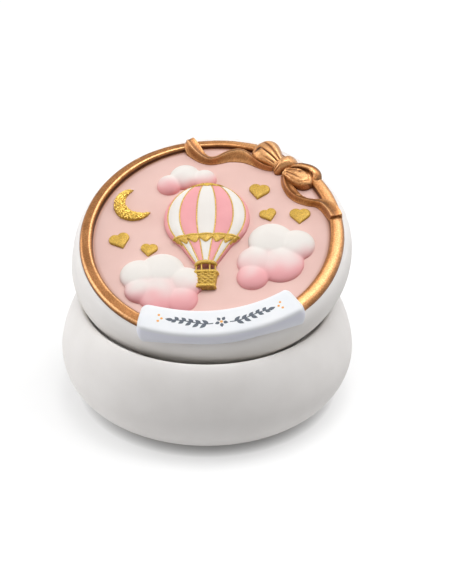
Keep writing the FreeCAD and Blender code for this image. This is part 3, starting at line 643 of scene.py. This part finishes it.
def right_creases(along, across):
    """Creases of the right loop: three soft pleats, a dent and a curved hem."""
    pleats = 0.0
    for depth, place, drift, span, fade_begin, fade_end in RIGHT_PLEATS:
        pleats += depth * near(across, place + drift * along, span) * (1 - ease(fade_begin, fade_end, along))
    dent = 0.9 * near(along, 0.46, 0.045) * near(across, 0.5, 0.13)
    hem = 0.3 * near(math.hypot((along - 0.5) / 0.4, across / 0.78), 1.0, 0.09) * ease(0.5, 0.7, along)
    return ease(0.02, 0.12, along) * pleats + dent + hem


def knot_half_width(along):
    """Half width of the knot, which spreads towards its outer end."""
    return KNOT_HALF_WIDTH * (0.72 + 0.3 * ease(0.0, 0.75, along)) * (1 - abs(2 * along - 1) ** 7 * 0.45)


def knot_rise(along):
    """Height of the knot, lower at both ends."""
    return KNOT_RISE * (1 - abs(2 * along - 1) ** 2.6 * 0.72)


def knot_creases(along, across):
    """Short pleats at the knot's inner end."""
    pleat = max(near(across, fold, KNOT_FOLD_SPAN) for fold in KNOT_FOLDS)
    return 0.8 * pleat * (1 - ease(0.08, 0.36, along))


def smooth_line(points, count):
    """Even run of points on a smooth line through the given ones."""
    line = []
    ends = [points[0]] + list(points) + [points[-1]]
    for before, start, finish, after in zip(ends, ends[1:], ends[2:], ends[3:]):
        a, b, c, d = (Vector(point) for point in (before, start, finish, after))
        for step in range(count):
            t = step / count
            line.append(0.5 * (2 * b + (c - a) * t + (2 * a - 5 * b + 4 * c - d) * t ** 2
                               + (3 * b - a - 3 * c + d) * t ** 3))
    line.append(Vector(points[-1]))
    return line


def side_of(line, step):
    """Level direction to the left of a line at one of its points."""
    ahead = line[min(step + 1, len(line) - 1)] - line[max(step - 1, 0)]
    return Vector((-ahead.y, ahead.x, 0)).normalized()


left_form = pillow(LEFT_ROOT, LEFT_ANGLE, LEFT_LENGTH, lambda along: puffed(along, *LEFT_WIDTH),
                   lambda along: puffed(along, *LEFT_RISE), left_creases, LEFT_FULL)
left_loop = set_piece("bow_loop_left", left_form, lid_place, [gilt], crease=60)
right_form = pillow(RIGHT_ROOT, RIGHT_ANGLE, RIGHT_LENGTH, lambda along: puffed(along, *RIGHT_WIDTH),
                    lambda along: puffed(along, *RIGHT_RISE), right_creases, RIGHT_FULL)
right_loop = set_piece("bow_loop_right", right_form, lid_place, [gilt], crease=60)
band_line = smooth_line(RIGHT_BAND, 7)
band_sections = []
for step, spot in enumerate(band_line):
    side = side_of(band_line, step)
    thin = 0.42 + 0.48 * ease(0, 34, step) - 0.3 * ease(44, 56, step)
    section = []
    for out, drop, paint_light_value in BAND_PROFILE:
        level = BOW_FOOT - BOW_SINK if drop is None else spot.z - drop * thin
        section.append((Vector((spot.x, spot.y, level)) + side * out * thin, paint_light_value))
    band_sections.append(section)
right_band = set_piece("bow_loop_right_band", sweep(band_sections), lid_place, [gilt], crease=60)
knot_ahead = Vector((math.cos(math.radians(KNOT_ANGLE)), math.sin(math.radians(KNOT_ANGLE))))
knot_start = Vector(KNOT_SPOT) - KNOT_HALF_LENGTH * knot_ahead
knot_form = pillow(knot_start, KNOT_ANGLE, 2 * KNOT_HALF_LENGTH, knot_half_width, knot_rise, knot_creases,
                   KNOT_FULL)
knot = set_piece("bow_knot_band", knot_form, lid_place, [gilt], crease=60)
for piece, node in ((left_loop, "bow_left_loop"), (right_loop, "bow_right_loop"), (knot, "bow_knot")):
    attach(piece, "lid")
    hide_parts(node)
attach(right_band, "lid")


# Ribbon tails: two wavy ends of the bow that stand on edge on the panel and twist to lie flat over the
# frame. They are modelled in the casting, with a wall to the front and a narrow top, and gilded with it.
# Each station gives the foot of the wall, the ridge and the back edge of the top, from bow to tip.
LEFT_TAIL = [
    ((16.4, 18.6, 4.4), (16.7, 18.7, 5.8), (16.9, 19.7, 5.4)),
    ((14.9, 19.1, 4.4), (15.0, 19.4, 6.0), (15.3, 20.6, 5.5)),
    ((13.5, 19.9, 4.4), (13.3, 20.8, 6.2), (13.7, 22.0, 5.7)),
    ((11.8, 21.1, 4.4), (12.0, 22.4, 6.3), (12.3, 23.4, 5.8)),
    ((10.2, 22.1, 4.4), (10.7, 24.0, 6.35), (10.9, 25.1, 5.8)),
    ((8.8, 22.6, 4.4), (9.4, 24.8, 6.35), (9.6, 25.9, 5.8)),
    ((7.4, 22.9, 4.4), (7.9, 24.9, 6.3), (7.9, 26.0, 5.8)),
    ((6.1, 23.0, 4.4), (6.3, 24.6, 6.25), (6.1, 25.6, 5.75)),
    ((4.7, 22.8, 4.4), (4.8, 23.9, 6.2), (4.5, 24.9, 5.7)),
    ((3.2, 22.7, 4.4), (3.4, 23.3, 6.2), (3.2, 24.5, 5.6)),
    ((1.8, 22.8, 4.4), (2.1, 23.2, 6.2), (2.1, 24.6, 5.6)),
    ((0.5, 23.2, 4.4), (0.9, 23.7, 6.25), (1.3, 25.2, 5.7)),
    ((-1.0, 24.1, 4.4), (-0.4, 24.8, 6.4), (0.6, 26.4, 6.0)),
    ((-2.3, 25.4, 4.4), (-1.5, 26.1, 6.7), (0.1, 27.5, 6.4)),
    ((-3.3, 26.5, 4.6), (-2.3, 27.4, 7.0), (-0.5, 28.5, 6.8)),
    ((-3.7, 27.5, 5.3), (-2.8, 28.5, 7.15), (-1.0, 29.4, 7.0)),
    ((-3.8, 28.6, 5.9), (-3.0, 29.3, 7.1), (-1.4, 30.1, 6.9)),
    ((-3.8, 29.6, 5.3), (-3.1, 30.2, 6.2), (-1.7, 30.9, 6.0)),
]
RIGHT_TAIL = [
    ((18.4, 16.8, 4.4), (19.0, 16.3, 6.0), (19.6, 16.6, 5.6)),
    ((18.2, 15.3, 4.4), (18.9, 14.7, 6.1), (20.1, 14.9, 5.5)),
    ((18.2, 13.7, 4.4), (19.0, 13.1, 6.1), (20.7, 13.3, 5.4)),
    ((18.6, 12.0, 4.4), (19.4, 11.5, 6.05), (21.4, 11.9, 5.3)),
    ((19.2, 10.3, 4.4), (20.1, 10.1, 6.0), (22.1, 10.5, 5.2)),
    ((20.2, 8.8, 4.4), (21.1, 8.9, 6.0), (22.8, 9.4, 5.2)),
    ((21.4, 7.7, 4.4), (22.2, 8.1, 6.0), (23.7, 8.6, 5.2)),
    ((22.7, 6.9, 4.4), (23.5, 7.4, 6.0), (24.8, 8.0, 5.3)),
    ((24.0, 6.3, 4.4), (24.7, 6.7, 6.1), (25.8, 7.6, 5.5)),
    ((25.3, 5.9, 4.4), (25.9, 6.1, 6.2), (26.9, 7.1, 5.9)),
    ((26.2, 5.1, 4.4), (26.9, 5.3, 6.4), (28.1, 6.4, 6.3)),
    ((26.9, 3.9, 4.4), (27.6, 4.0, 6.6), (29.3, 5.3, 6.7)),
    ((27.5, 2.5, 4.5), (28.2, 2.5, 6.8), (30.4, 3.9, 6.9)),
    ((28.0, 1.2, 5.0), (28.6, 1.1, 6.95), (31.1, 2.2, 6.9)),
    ((28.2, 0.5, 5.2), (28.8, 0.6, 6.95), (31.4, 1.0, 6.8)),
]
# Across a tail: share of the wall or the top, how far it is hollowed there, and its paint-and-light value:
# painted highlights on the ridge and the edges, painted shade in the groove behind the ridge and on the
# middle of the wall.
TAIL_WALL = [(0.0, 0.0, -0.5), (0.1, 0.0, 0.5), (0.25, 0.08, 0.1), (0.5, 0.16, -0.15), (0.75, 0.1, -0.1),
             (0.93, 0.0, 0.5)]
TAIL_TOP = [(0.0, 0.0, 1.0), (0.14, 0.08, 0.0), (0.3, 0.2, -0.55), (0.6, 0.2, -0.2), (0.9, 0.04, 0.4),
            (1.0, 0.12, 0.0)]
TAIL_SINK, TIP_DROP, TIP_PAINTED_SHADE = 0.1, 1.25, -0.9


def tail_form(stations, square_tip):
    """Skin of one tail over its stations; a square tip ends in a low wall darkened with painted shade."""
    sections = []
    for foot, ridge, back in zip(*(smooth_line(line, 5) for line in zip(*stations))):
        section = []
        for start, finish, profile in ((foot, ridge, TAIL_WALL), (ridge, back, TAIL_TOP)):
            for share, hollow, paint_light_value in profile:
                section.append((start.lerp(finish, share) - Vector((0, 0, hollow)), paint_light_value))
        for edge in (back, foot):
            low = min(PANEL_TOP, lid_skin(edge.xy.length)) - TAIL_SINK
            section.append((Vector((edge.x, edge.y, low)), -1.0))
        sections.append(section)
    if square_tip:
        sections.append([(point - Vector((0, 0, min(TIP_DROP, point.z - PANEL_TOP + TAIL_SINK))), TIP_PAINTED_SHADE)
                         for point, _ in sections[-1]])
    return sweep(sections)


left_tail = set_piece("ribbon_tail_left", tail_form(LEFT_TAIL, False), lid_place, [gilt], crease=60)
right_tail = set_piece("ribbon_tail_right", tail_form(RIGHT_TAIL, True), lid_place, [gilt], crease=60)
for piece, node in ((left_tail, "ribbon_left_tail"), (right_tail, "ribbon_right_tail")):
    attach(piece, "lid")
    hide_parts(node)


# Balloon: the middle of the relief, a pillowed envelope of seven gores modelled in the casting and
# painted in turn rose and off-white, with gold cord on the seams, a gold cap and a scalloped valance.
BALLOON_SPOT, BALLOON_LEAN = (-0.51, 5.51), -6.0
BALLOON_RADIUS, BALLOON_DROP, NECK_HALF, NECK_RISE, BALLOON_RISE = 10.2, 14.6, 2.2, 0.9, 1.5
SIDE_X, SIDE_Y, GORES, GORE_STEPS, GORE_SWELL = 6.244, -8.066, 7, 9, 0.36
RELIEF_LIFT, RELIEF_SINK, SEAM_WASH, TOP_SHARE = 0.35, 0.15, -0.55, 0.9995
SEAM_ROUND, HOOPS, HOOP_LIFT = 0.17, [(-6.6, 0.3), (-14.45, 0.5)], 0.12
# Valance and cap: head, foot between scallops, depth of a scallop, rows, and height above the skin.
VALANCE, CAP, SCALLOP_STEPS = (-6.6, -7.3, 1.5, 6, 0.3), (10.1796, 9.2, 0.55, 5, 0.28), 12
ROSE, ROSE_SHADE, ROSE_ROUGH = (0.80, 0.36, 0.375), (0.74, 0.315, 0.33), (0.48, 0.62)
ROSE_RUBBED, ROSE_GRIME = (0.85, 0.5, 0.5), (0.55, 0.2, 0.2)
CLOUD, CLOUD_SHADE, CLOUD_ROUGH = (0.78, 0.745, 0.705), (0.73, 0.69, 0.65), (0.5, 0.65)
CLOUD_RUBBED, CLOUD_GRIME = (0.82, 0.8, 0.77), (0.62, 0.52, 0.47)
OCHRE, OCHRE_SHADE, OCHRE_METAL, OCHRE_ROUGH = (0.58, 0.36, 0.052), (0.49, 0.295, 0.035), 0.2, (0.42, 0.58)
OCHRE_BRIGHT, OCHRE_WASH = (0.7, 0.47, 0.1), (0.2, 0.11, 0.015)

balloon_turn = Matrix.Translation((*BALLOON_SPOT, 0)) @ Matrix.Rotation(math.radians(BALLOON_LEAN), 4, "Z")


def envelope_half(along):
    """Half width of the balloon at a height along its own axis."""
    if along > SIDE_Y:
        return math.sqrt(max(0.0, BALLOON_RADIUS ** 2 - along ** 2))
    return NECK_HALF + (SIDE_X - NECK_HALF) * (along + BALLOON_DROP) / (SIDE_Y + BALLOON_DROP)


def envelope_spot(along, turn, lift=0.0):
    """Point on the balloon's skin; turn runs from -90 to 90 degrees round its front."""
    half = envelope_half(along)
    gore = (turn + 90) / 180 * GORES
    bulge = 1 - (2 * (gore - math.floor(min(gore, GORES - 1e-6))) - 1) ** 2
    front, broad = math.cos(math.radians(turn)), half / BALLOON_RADIUS
    depth = (NECK_RISE + BALLOON_RISE * broad ** 0.7) * front ** 0.85
    depth += GORE_SWELL * bulge * (front * broad) ** 0.5
    level = PANEL_TOP + RELIEF_LIFT + depth + lift
    return balloon_turn @ Vector((half * math.sin(math.radians(turn)), along, level))


envelope = bmesh.new()
envelope_wear = envelope.verts.layers.float.new("paint_and_light")
levels = [-BALLOON_DROP + step for step in range(7)]
levels += [BALLOON_RADIUS * math.sin(math.radians(angle)) for angle in range(-50, 90, 4)]
levels += [BALLOON_RADIUS * TOP_SHARE] * 2
gore_columns = range(GORES * GORE_STEPS + 1)
grid = []
for along in levels:
    row = []
    for step in gore_columns:
        spot = envelope_spot(along, -90 + 180 * step / (GORES * GORE_STEPS))
        row.append((spot, SEAM_WASH if step % GORE_STEPS == 0 else 0.0))
    grid.append(add_ring(envelope, envelope_wear, row))
paints = [(step // GORE_STEPS) % 2 for step in gore_columns]
skin_over(envelope, envelope_wear, grid, PANEL_TOP - RELIEF_SINK, paints)
rose_paint = cast_coat("rose_paint", ROSE, ROSE_SHADE, ROSE_RUBBED, ROSE_GRIME, ROSE_ROUGH)
cloud_paint = cast_coat("cloud_paint", CLOUD, CLOUD_SHADE, CLOUD_RUBBED, CLOUD_GRIME, CLOUD_ROUGH)
balloon = set_piece("balloon_gores", envelope, lid_place, [rose_paint, cloud_paint], crease=70)
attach(balloon, "lid")
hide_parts("balloon_envelope")


def add_tube(skin, paint_and_light, line, radius, sides=8):
    """Add a round cord along a line of points."""
    rings = []
    for step, spot in enumerate(line):
        ahead = (line[min(step + 1, len(line) - 1)] - line[max(step - 1, 0)]).normalized()
        across = ahead.cross(Vector((0, 0, 1))).normalized()
        over = across.cross(ahead)
        ring = []
        for side in range(sides):
            angle = 2 * math.pi * side / sides
            out = across * math.cos(angle) + over * math.sin(angle)
            # Each cord is lighter along its top and darker underneath.
            ring.append((spot + radius * out, 0.5 * math.sin(angle)))
        rings.append(add_ring(skin, paint_and_light, ring))
    bridge(skin, rings)


def add_scallop(skin, paint_and_light, gore, head, foot, deep, rows, lift):
    """Add a thin raised patch on one gore, with a straight head and a foot that hangs in a curve."""
    lines = []
    for row in range(rows + 1):
        rim = 0.0 if row in (0, rows) else 1.0
        line = []
        for step in range(SCALLOP_STEPS + 1):
            turn = -90 + 180 * (gore + step / SCALLOP_STEPS) / GORES
            hang = foot - deep * math.sin(math.pi * step / SCALLOP_STEPS)
            spot = envelope_spot(head + (hang - head) * row / rows, turn, lift * (0.25 + 0.75 * rim))
            line.append((spot, 0.35 * rim))
        lines.append(add_ring(skin, paint_and_light, line))
    for one, two in zip(lines, lines[1:]):
        for step in range(SCALLOP_STEPS):
            skin.faces.new((one[step], two[step], two[step + 1], one[step + 1]))


trim = bmesh.new()
trim_wear = trim.verts.layers.float.new("paint_and_light")
for seam in range(1, GORES):
    turn = -90 + 180 * seam / GORES
    add_tube(trim, trim_wear, [envelope_spot(along, turn) for along in levels[1:-3]], SEAM_ROUND)
for gore in range(GORES):
    add_scallop(trim, trim_wear, gore, *VALANCE)
    add_scallop(trim, trim_wear, gore, *CAP)
for along, radius in HOOPS:
    hoop = [envelope_spot(along, -86 + 172 * step / 40, HOOP_LIFT) for step in range(41)]
    add_tube(trim, trim_wear, hoop, radius)
ochre_gold = gilding("ochre_gold", OCHRE, OCHRE_SHADE, OCHRE_BRIGHT, OCHRE_WASH, OCHRE_METAL, OCHRE_ROUGH)
balloon_trim = set_piece("balloon_trim", trim, lid_place, [ochre_gold], crease=60)
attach(balloon_trim, "lid")


# Basket: a little tapered wicker car below the balloon, modelled with its weave and rolled rims, and
# four ropes up to the neck. It is painted ochre gold over a dark wash.
BASKET_TOP, BASKET_HEIGHT, BASKET_HALF, BASKET_FOOT = -17.0, 4.4, 2.8, 2.3
BASKET_ROWS, BASKET_COLUMNS, WALL_RISE, BAR_RISE, BASKET_LIFT = 36, 48, 1.2, 1.25, 0.3
COURSES, STAKES, WEAVE_DEPTH, COURSE_DEPTH, WEAVE_RUB = 8, 7, 0.16, 0.14, 0.9
# Rims: distance below the basket's top, half length and thickness. Ropes: turn at the neck, place on the rim.
RIMS, RIM_POINTS = [(-0.05, BASKET_HALF, 0.42), (BASKET_HEIGHT - 0.25, BASKET_FOOT, 0.34)], 12
ROPES, ROPE_ROUND = [(-67.5, -2.4), (-26.25, -0.9), (26.25, 0.9), (67.5, 2.4)], 0.2


def basket_spot(across, half, down, rise, lift=0.0):
    """Point on the basket's rounded front; across goes from -1 to 1, and down is measured from its top."""
    level = PANEL_TOP + BASKET_LIFT + rise * (1 - abs(across) ** 5) ** 0.4 + lift
    return balloon_turn @ Vector((across * half, BASKET_TOP - down, level))


wicker = bmesh.new()
wicker_wear = wicker.verts.layers.float.new("paint_and_light")
grid = []
for row in range(BASKET_ROWS + 1):
    down = row / BASKET_ROWS
    half = BASKET_HALF + (BASKET_FOOT - BASKET_HALF) * down
    wave = math.sin(math.pi * COURSES * down)
    course = abs(wave) ** 0.6
    line = []
    for column in range(BASKET_COLUMNS + 1):
        across = 2 * column / BASKET_COLUMNS - 1
        weave = wave * math.sin(math.pi * STAKES * (across + 1) / 2)
        raised = WEAVE_DEPTH * weave + COURSE_DEPTH * course
        spot = basket_spot(across, half, BASKET_HEIGHT * down, WALL_RISE, raised)
        line.append((spot, WEAVE_RUB * (weave * 0.5 + course - 0.75)))
    grid.append(add_ring(wicker, wicker_wear, line))
skin_over(wicker, wicker_wear, grid, PANEL_TOP - RELIEF_SINK)
for down, half, radius in RIMS:
    bar = [basket_spot(step / RIM_POINTS, half, down, BAR_RISE)
           for step in range(-RIM_POINTS, RIM_POINTS + 1)]
    add_tube(wicker, wicker_wear, bar, radius, 10)
for turn, across in ROPES:
    top = envelope_spot(-BALLOON_DROP + 0.1, turn, -0.1)
    foot = balloon_turn @ Vector((across, BASKET_TOP, PANEL_TOP + 1.2))
    add_tube(wicker, wicker_wear, [top + (foot - top) * step / 6 for step in range(7)], ROPE_ROUND)
basket = set_piece("wicker_basket", wicker, lid_place, [ochre_gold], crease=60)
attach(basket, "lid")
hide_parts("balloon_basket")


# Clouds: three heaps of soft puffs modelled on the panel around the balloon, off-white above and
# shaded to rose below with a dry brush.
CLOUD_RISE, CLOUD_VOXEL, CLOUD_SOFTEN, CLOUD_SINK = 2.05, 0.24, 5, 0.25
BLUSH, BLUSH_SPREAD, BLUSH_WANDER = 0.95, (0.3, 0.85), 0.12
PUFFS = {
    "left_cloud": [(-17.9, -9.4, 4.6), (-12.5, -9.1, 5.5), (-7.4, -13.1, 4.6), (-13.6, -15.1, 5.5),
                   (-8.5, -17.9, 3.8), (-17.9, -13.9, 3.8)],
    "right_cloud": [(19.6, -5.4, 4.6), (13.9, -3.4, 5.5), (9.8, -9.1, 4.6), (15.5, -10.5, 5.5),
                    (8.5, -13.5, 3.8)],
    "top_cloud": [(-8.5, 17.5, 3.0), (-4.5, 19.5, 3.8), (0.0, 18.0, 3.0)],
}


def heap_of_puffs(puffs):
    """Melt flattened balls into one soft heap with a flat foot on the panel."""
    heap = bmesh.new()
    for x, y, radius in puffs:
        place = Matrix.Translation((x, y, PANEL_TOP)) @ Matrix.Diagonal((radius, radius, CLOUD_RISE, 1))
        bmesh.ops.create_icosphere(heap, subdivisions=4, radius=1.0, matrix=place)
    lump = bpy.data.meshes.new("puffs")
    heap.to_mesh(lump)
    heap.free()
    melted = bpy.data.objects.new("puffs", lump)
    bpy.context.scene.collection.objects.link(melted)
    remesh = melted.modifiers.new("melt", "REMESH")
    remesh.mode = "VOXEL"
    remesh.voxel_size = CLOUD_VOXEL
    soften = melted.modifiers.new("soften", "SMOOTH")
    soften.iterations = CLOUD_SOFTEN
    graph = bpy.context.evaluated_depsgraph_get()
    soft = bpy.data.meshes.new_from_object(melted.evaluated_get(graph))
    form = bmesh.new()
    form.from_mesh(soft)
    bpy.data.objects.remove(melted)
    for point in form.verts:
        point.co.z = max(point.co.z, PANEL_TOP - CLOUD_SINK)
    return form


blushed = cast_coat("blushed_cloud", CLOUD, CLOUD_SHADE, CLOUD_RUBBED, ROSE, CLOUD_ROUGH, edge_wear=0.0)
for name, puffs in PUFFS.items():
    form = heap_of_puffs(puffs)
    paint_and_light = form.verts.layers.float.new("paint_and_light")
    head, foot = max(y + r for x, y, r in puffs), min(y - r for x, y, r in puffs)
    for point in form.verts:
        high = (point.co.z - PANEL_TOP) / CLOUD_RISE
        down = (head - point.co.y) / (head - foot) + BLUSH_WANDER * noise.noise(point.co * 0.3)
        point[paint_and_light] = -BLUSH * ease(*BLUSH_SPREAD, down + 0.25 * (0.5 - high))
    cloud = set_piece(name + "_heap", form, lid_place, [blushed], crease=80)
    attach(cloud, "lid")
    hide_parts(name)


# Moon: a puffed crescent at the side of the balloon, coated with coarse gold glitter that was shaken
# over wet varnish.
MOON_SPOT, MOON_RADIUS, MOON_BITE, MOON_SHIFT = (-17.5, 12.5), 4.8, 4.1, 2.4
MOON_ANGLE, MOON_RISE, MOON_LIFT, MOON_STEPS, MOON_POINTS = 25.0, 1.2, 0.1, 60, 12
BACK_BEGIN, BACK_SPAN, HOLLOW_BEGIN, HOLLOW_SPAN = 58.6, 242.8, 88.6, 182.8
GRAINS, GRAIN_SEED, FLAKE_WIDTHS, FLAKE_HEIGHTS = 420, 11, (0.18, 0.34), (0.1, 0.22)
GLITTER, GLITTER_SHADE = (0.62, 0.41, 0.045), (0.34, 0.2, 0.016)
GLITTER_METAL, GLITTER_ROUGH = 0.8, (0.2, 0.4)
GLITTER_BRIGHT, GLITTER_WASH = (0.85, 0.62, 0.16), (0.13, 0.07, 0.01)

bite_spot = arc(MOON_SPOT, MOON_SHIFT, MOON_ANGLE, MOON_ANGLE, 1)[0]


def moon_spot(along, across):
    """Point of the crescent's upper side; along goes from tip to tip, across from back to hollow."""
    outer = Vector(arc(MOON_SPOT, MOON_RADIUS, MOON_ANGLE + BACK_BEGIN + BACK_SPAN * along, 0, 1)[0])
    inner = Vector(arc(bite_spot, MOON_BITE, MOON_ANGLE + HOLLOW_BEGIN + HOLLOW_SPAN * along, 0, 1)[0])
    fat = (outer - inner).length / (MOON_RADIUS - MOON_BITE + MOON_SHIFT)
    dome = (1 - abs(across) ** 2.5) ** 0.5
    level = PANEL_TOP + MOON_LIFT + MOON_RISE * dome * min(1.0, fat * 1.3) ** 0.7
    return Vector((*outer.lerp(inner, (across + 1) / 2), level))


moon_sections = []
for step in range(1, MOON_STEPS):
    section = []
    for count in range(MOON_POINTS + 1):
        section.append((moon_spot(step / MOON_STEPS, math.sin(math.pi * (count / MOON_POINTS - 0.5))), 0.0))
    for edge, _ in (section[-1], section[0]):
        section.append((Vector((*edge.xy, PANEL_TOP - RELIEF_SINK)), -1.0))
    moon_sections.append(section)
moon = set_piece("crescent", sweep(moon_sections), lid_place, [ochre_gold], crease=60)
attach(moon, "lid")
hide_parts("crescent_moon")
shaken = random.Random(GRAIN_SEED)
glitter = bmesh.new()
for _ in range(GRAINS):
    spot = moon_spot(shaken.uniform(0.06, 0.94), shaken.uniform(-0.93, 0.93))
    turn = shaken.uniform(0, 6.28)
    axis = Vector((shaken.random(), shaken.random(), 1)).normalized()
    flake = [shaken.uniform(*spread) for spread in (FLAKE_WIDTHS, FLAKE_WIDTHS, FLAKE_HEIGHTS)]
    place = Matrix.Translation(spot) @ Matrix.Rotation(turn, 4, axis) @ Matrix.Diagonal((*flake, 1))
    bmesh.ops.create_icosphere(glitter, subdivisions=1, radius=1.0, matrix=place)
flakes = gilding("gold_glitter", GLITTER, GLITTER_SHADE, GLITTER_BRIGHT, GLITTER_WASH, GLITTER_METAL,
                 GLITTER_ROUGH)
moon_glitter = set_piece("crescent_glitter", glitter, lid_place, [flakes], crease=10)
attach(moon_glitter, "lid")


# Hearts: five small puffed hearts scattered about the panel. They are modelled in the casting with soft
# edges, and painted ochre gold over a dark wash.
HEARTS = [(-21.5, 1.5, 5.0, 14.0), (-15.0, -2.2, 4.1, -12.0), (12.6, 12.2, 5.0, -16.0),
          (14.2, 4.6, 4.1, 12.0), (21.5, 3.2, 5.0, -8.0)]
# From the foot up: size of the outline, height above the panel, and wear.
HEART_RINGS = [(1.0, -0.15, -1.0), (1.0, 0.3, -0.2), (0.95, 0.52, 0.4), (0.84, 0.66, 0.2), (0.62, 0.72, 0.0),
               (0.3, 0.74, 0.0)]

hearts = bmesh.new()
hearts_wear = hearts.verts.layers.float.new("paint_and_light")
for x, y, width, turn in HEARTS:
    lobe = width / (2 + math.sqrt(2))
    slant, notch = lobe / math.sqrt(2), lobe * math.sqrt(2)
    outline = [(2 * slant * step / 8, -notch * (1 - step / 8)) for step in range(8)]
    outline += arc((slant, slant), lobe, -45, 135, 20)[:-1]
    outline += [(0, notch)]
    outline += [(-a, b) for a, b in outline[-2:0:-1]]
    place = Matrix.Translation((x, y, PANEL_TOP)) @ Matrix.Rotation(math.radians(turn), 4, "Z")
    rings = []
    for scale, level, paint_light_value in HEART_RINGS:
        ring = [(place @ Vector((a * scale, b * scale, level)), paint_light_value) for a, b in outline]
        rings.append(add_ring(hearts, hearts_wear, ring))
    bridge(hearts, rings)
gold_hearts = set_piece("puffed_hearts", hearts, lid_place, [ochre_gold], crease=60)
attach(gold_hearts, "lid")
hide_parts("gold_hearts")


# Studio: a pale sheet of paper on a light table, which glows a little under the object and runs out to
# white, in a white room. Five lamps with broad soft heads stand overhead, at both sides and behind.
PAPER_SIZE, PAPER_WHITE, PAPER_ROUGH, PAPER_SINK = 3.0, 0.5, 0.9, 0.00005
GLOW_NEAR, GLOW_FAR, GLOW_BEGIN, GLOW_END = 0.5, 1.0, 0.25, 1.1
TABLE_LIGHT, ROOM_LIGHT, CONTACT_REACH, LAMP_AIM = 0.22, 0.05, 0.0028, (0, 0, 0.03)
# Each lamp: place, power in watts and width of its head.
LAMPS = {
    "overhead": ((0.16, 0.12, 0.78), 3.0, 0.6),
    "overhead_front": ((0.0, -0.13, 0.78), 2.0, 0.5),
    "left": ((-0.7, -0.05, 0.3), 4.3, 0.9),
    "right": ((0.6, 0.0, 0.6), 1.5, 0.6),
    "behind": ((0.5, 0.5, 0.5), 1.2, 0.6),
}


def shown_rays(tree):
    """1 for rays that show a surface as it looks, straight or mirrored, and 0 for rays that light others."""
    rays = tree.nodes.new("ShaderNodeLightPath").outputs
    shown = rays["Is Camera Ray"]
    for kind in ("Is Glossy Ray", "Is Transmission Ray"):
        shown = wire(tree, "ShaderNodeMath", "Value", {0: shown, 1: rays[kind]}, operation="MAXIMUM")
    return shown


paper_mesh = bpy.data.meshes.new("paper")
paper_form = bmesh.new()
bmesh.ops.create_grid(paper_form, x_segments=4, y_segments=4, size=PAPER_SIZE)
paper_form.to_mesh(paper_mesh)
paper_form.free()
paper = bpy.data.objects.new("paper", paper_mesh)
paper.location.z = -PAPER_SINK
bpy.context.scene.collection.objects.link(paper)
paper_finish = bpy.data.materials.new("paper")
paper_finish.use_nodes = True
tree = paper_finish.node_tree
sheet = tree.nodes["Principled BSDF"]
feed(tree, sheet, {"Base Color": (PAPER_WHITE, PAPER_WHITE, PAPER_WHITE, 1), "Roughness": PAPER_ROUGH,
                   "Specular IOR Level": 0.0})
place = wire(tree, "ShaderNodeTexCoord", "Object", {})
far = wire(tree, "ShaderNodeVectorMath", "Value", {0: place}, operation="LENGTH")
fade = wire(tree, "ShaderNodeMapRange", "Result",
            {"Value": far, "From Min": GLOW_BEGIN, "From Max": GLOW_END, "To Min": GLOW_NEAR,
             "To Max": GLOW_FAR}, interpolation_type="SMOOTHSTEP")
# The glow that the camera sees is dimmed by occlusion close to the box: a painted contact shadow.
contact_shadow = wire(tree, "ShaderNodeAmbientOcclusion", "AO", {"Distance": CONTACT_REACH})
open_glow = wire(tree, "ShaderNodeMath", "Value", {0: fade, 1: contact_shadow}, operation="MULTIPLY")
strength = wire(tree, "ShaderNodeMix", "Result",
                {"Factor": shown_rays(tree), "A": TABLE_LIGHT, "B": open_glow})
glow = wire(tree, "ShaderNodeEmission", "Emission", {"Color": (1, 1, 1, 1), "Strength": strength})
both = wire(tree, "ShaderNodeAddShader", "Shader", {0: sheet.outputs["BSDF"], 1: glow})
feed(tree, tree.nodes["Material Output"], {"Surface": both})
paper_mesh.materials.append(paper_finish)

world = bpy.data.worlds.new("studio")
bpy.context.scene.world = world
world.use_nodes = True
tree = world.node_tree
bright = wire(tree, "ShaderNodeMath", "Value", {0: shown_rays(tree), 1: ROOM_LIGHT}, operation="MAXIMUM")
feed(tree, tree.nodes["Background"], {"Color": (1, 1, 1, 1), "Strength": bright})

for name, (spot, power, breadth) in LAMPS.items():
    lamp = bpy.data.lights.new(name, "AREA")
    lamp.energy = power
    lamp.shape = "DISK"
    lamp.size = breadth
    stand = bpy.data.objects.new(name, lamp)
    stand.location = spot
    stand.rotation_euler = (Vector(LAMP_AIM) - Vector(spot)).to_track_quat("-Z", "Y").to_euler()
    bpy.context.scene.collection.objects.link(stand)


# Camera: a long lens a little to the right of the lid's leaning direction and 32 degrees above the
# table. It is aimed so that the box sits in the frame as in the photograph.
CAMERA_TURN, CAMERA_RISE, CAMERA_REACH = math.radians(9.59), math.radians(32.0), 0.7
AIM_LEVEL, AIM_RIGHT, AIM_UP, SENSOR, LENS = 0.012, 0.00461, 0.01245, 36.0, 178.63

right = Vector((math.cos(CAMERA_TURN), math.sin(CAMERA_TURN), 0))
level_back = Vector((math.sin(CAMERA_TURN), -math.cos(CAMERA_TURN), 0))
back = level_back * math.cos(CAMERA_RISE) + Vector((0, 0, math.sin(CAMERA_RISE)))
above = back.cross(right)
look_from = Vector((0, 0, AIM_LEVEL)) + back * CAMERA_REACH
look_at = Vector((0, 0, AIM_LEVEL)) + right * AIM_RIGHT + above * AIM_UP
lens = bpy.data.cameras.new("camera")
lens.sensor_width = SENSOR
lens.lens = LENS
camera = bpy.data.objects.new("camera", lens)
camera.location = look_from
camera.rotation_euler = (look_at - look_from).to_track_quat("-Z", "Y").to_euler()
bpy.context.scene.collection.objects.link(camera)
bpy.context.scene.camera = camera
bpy.context.scene.view_settings.view_transform = "Standard"
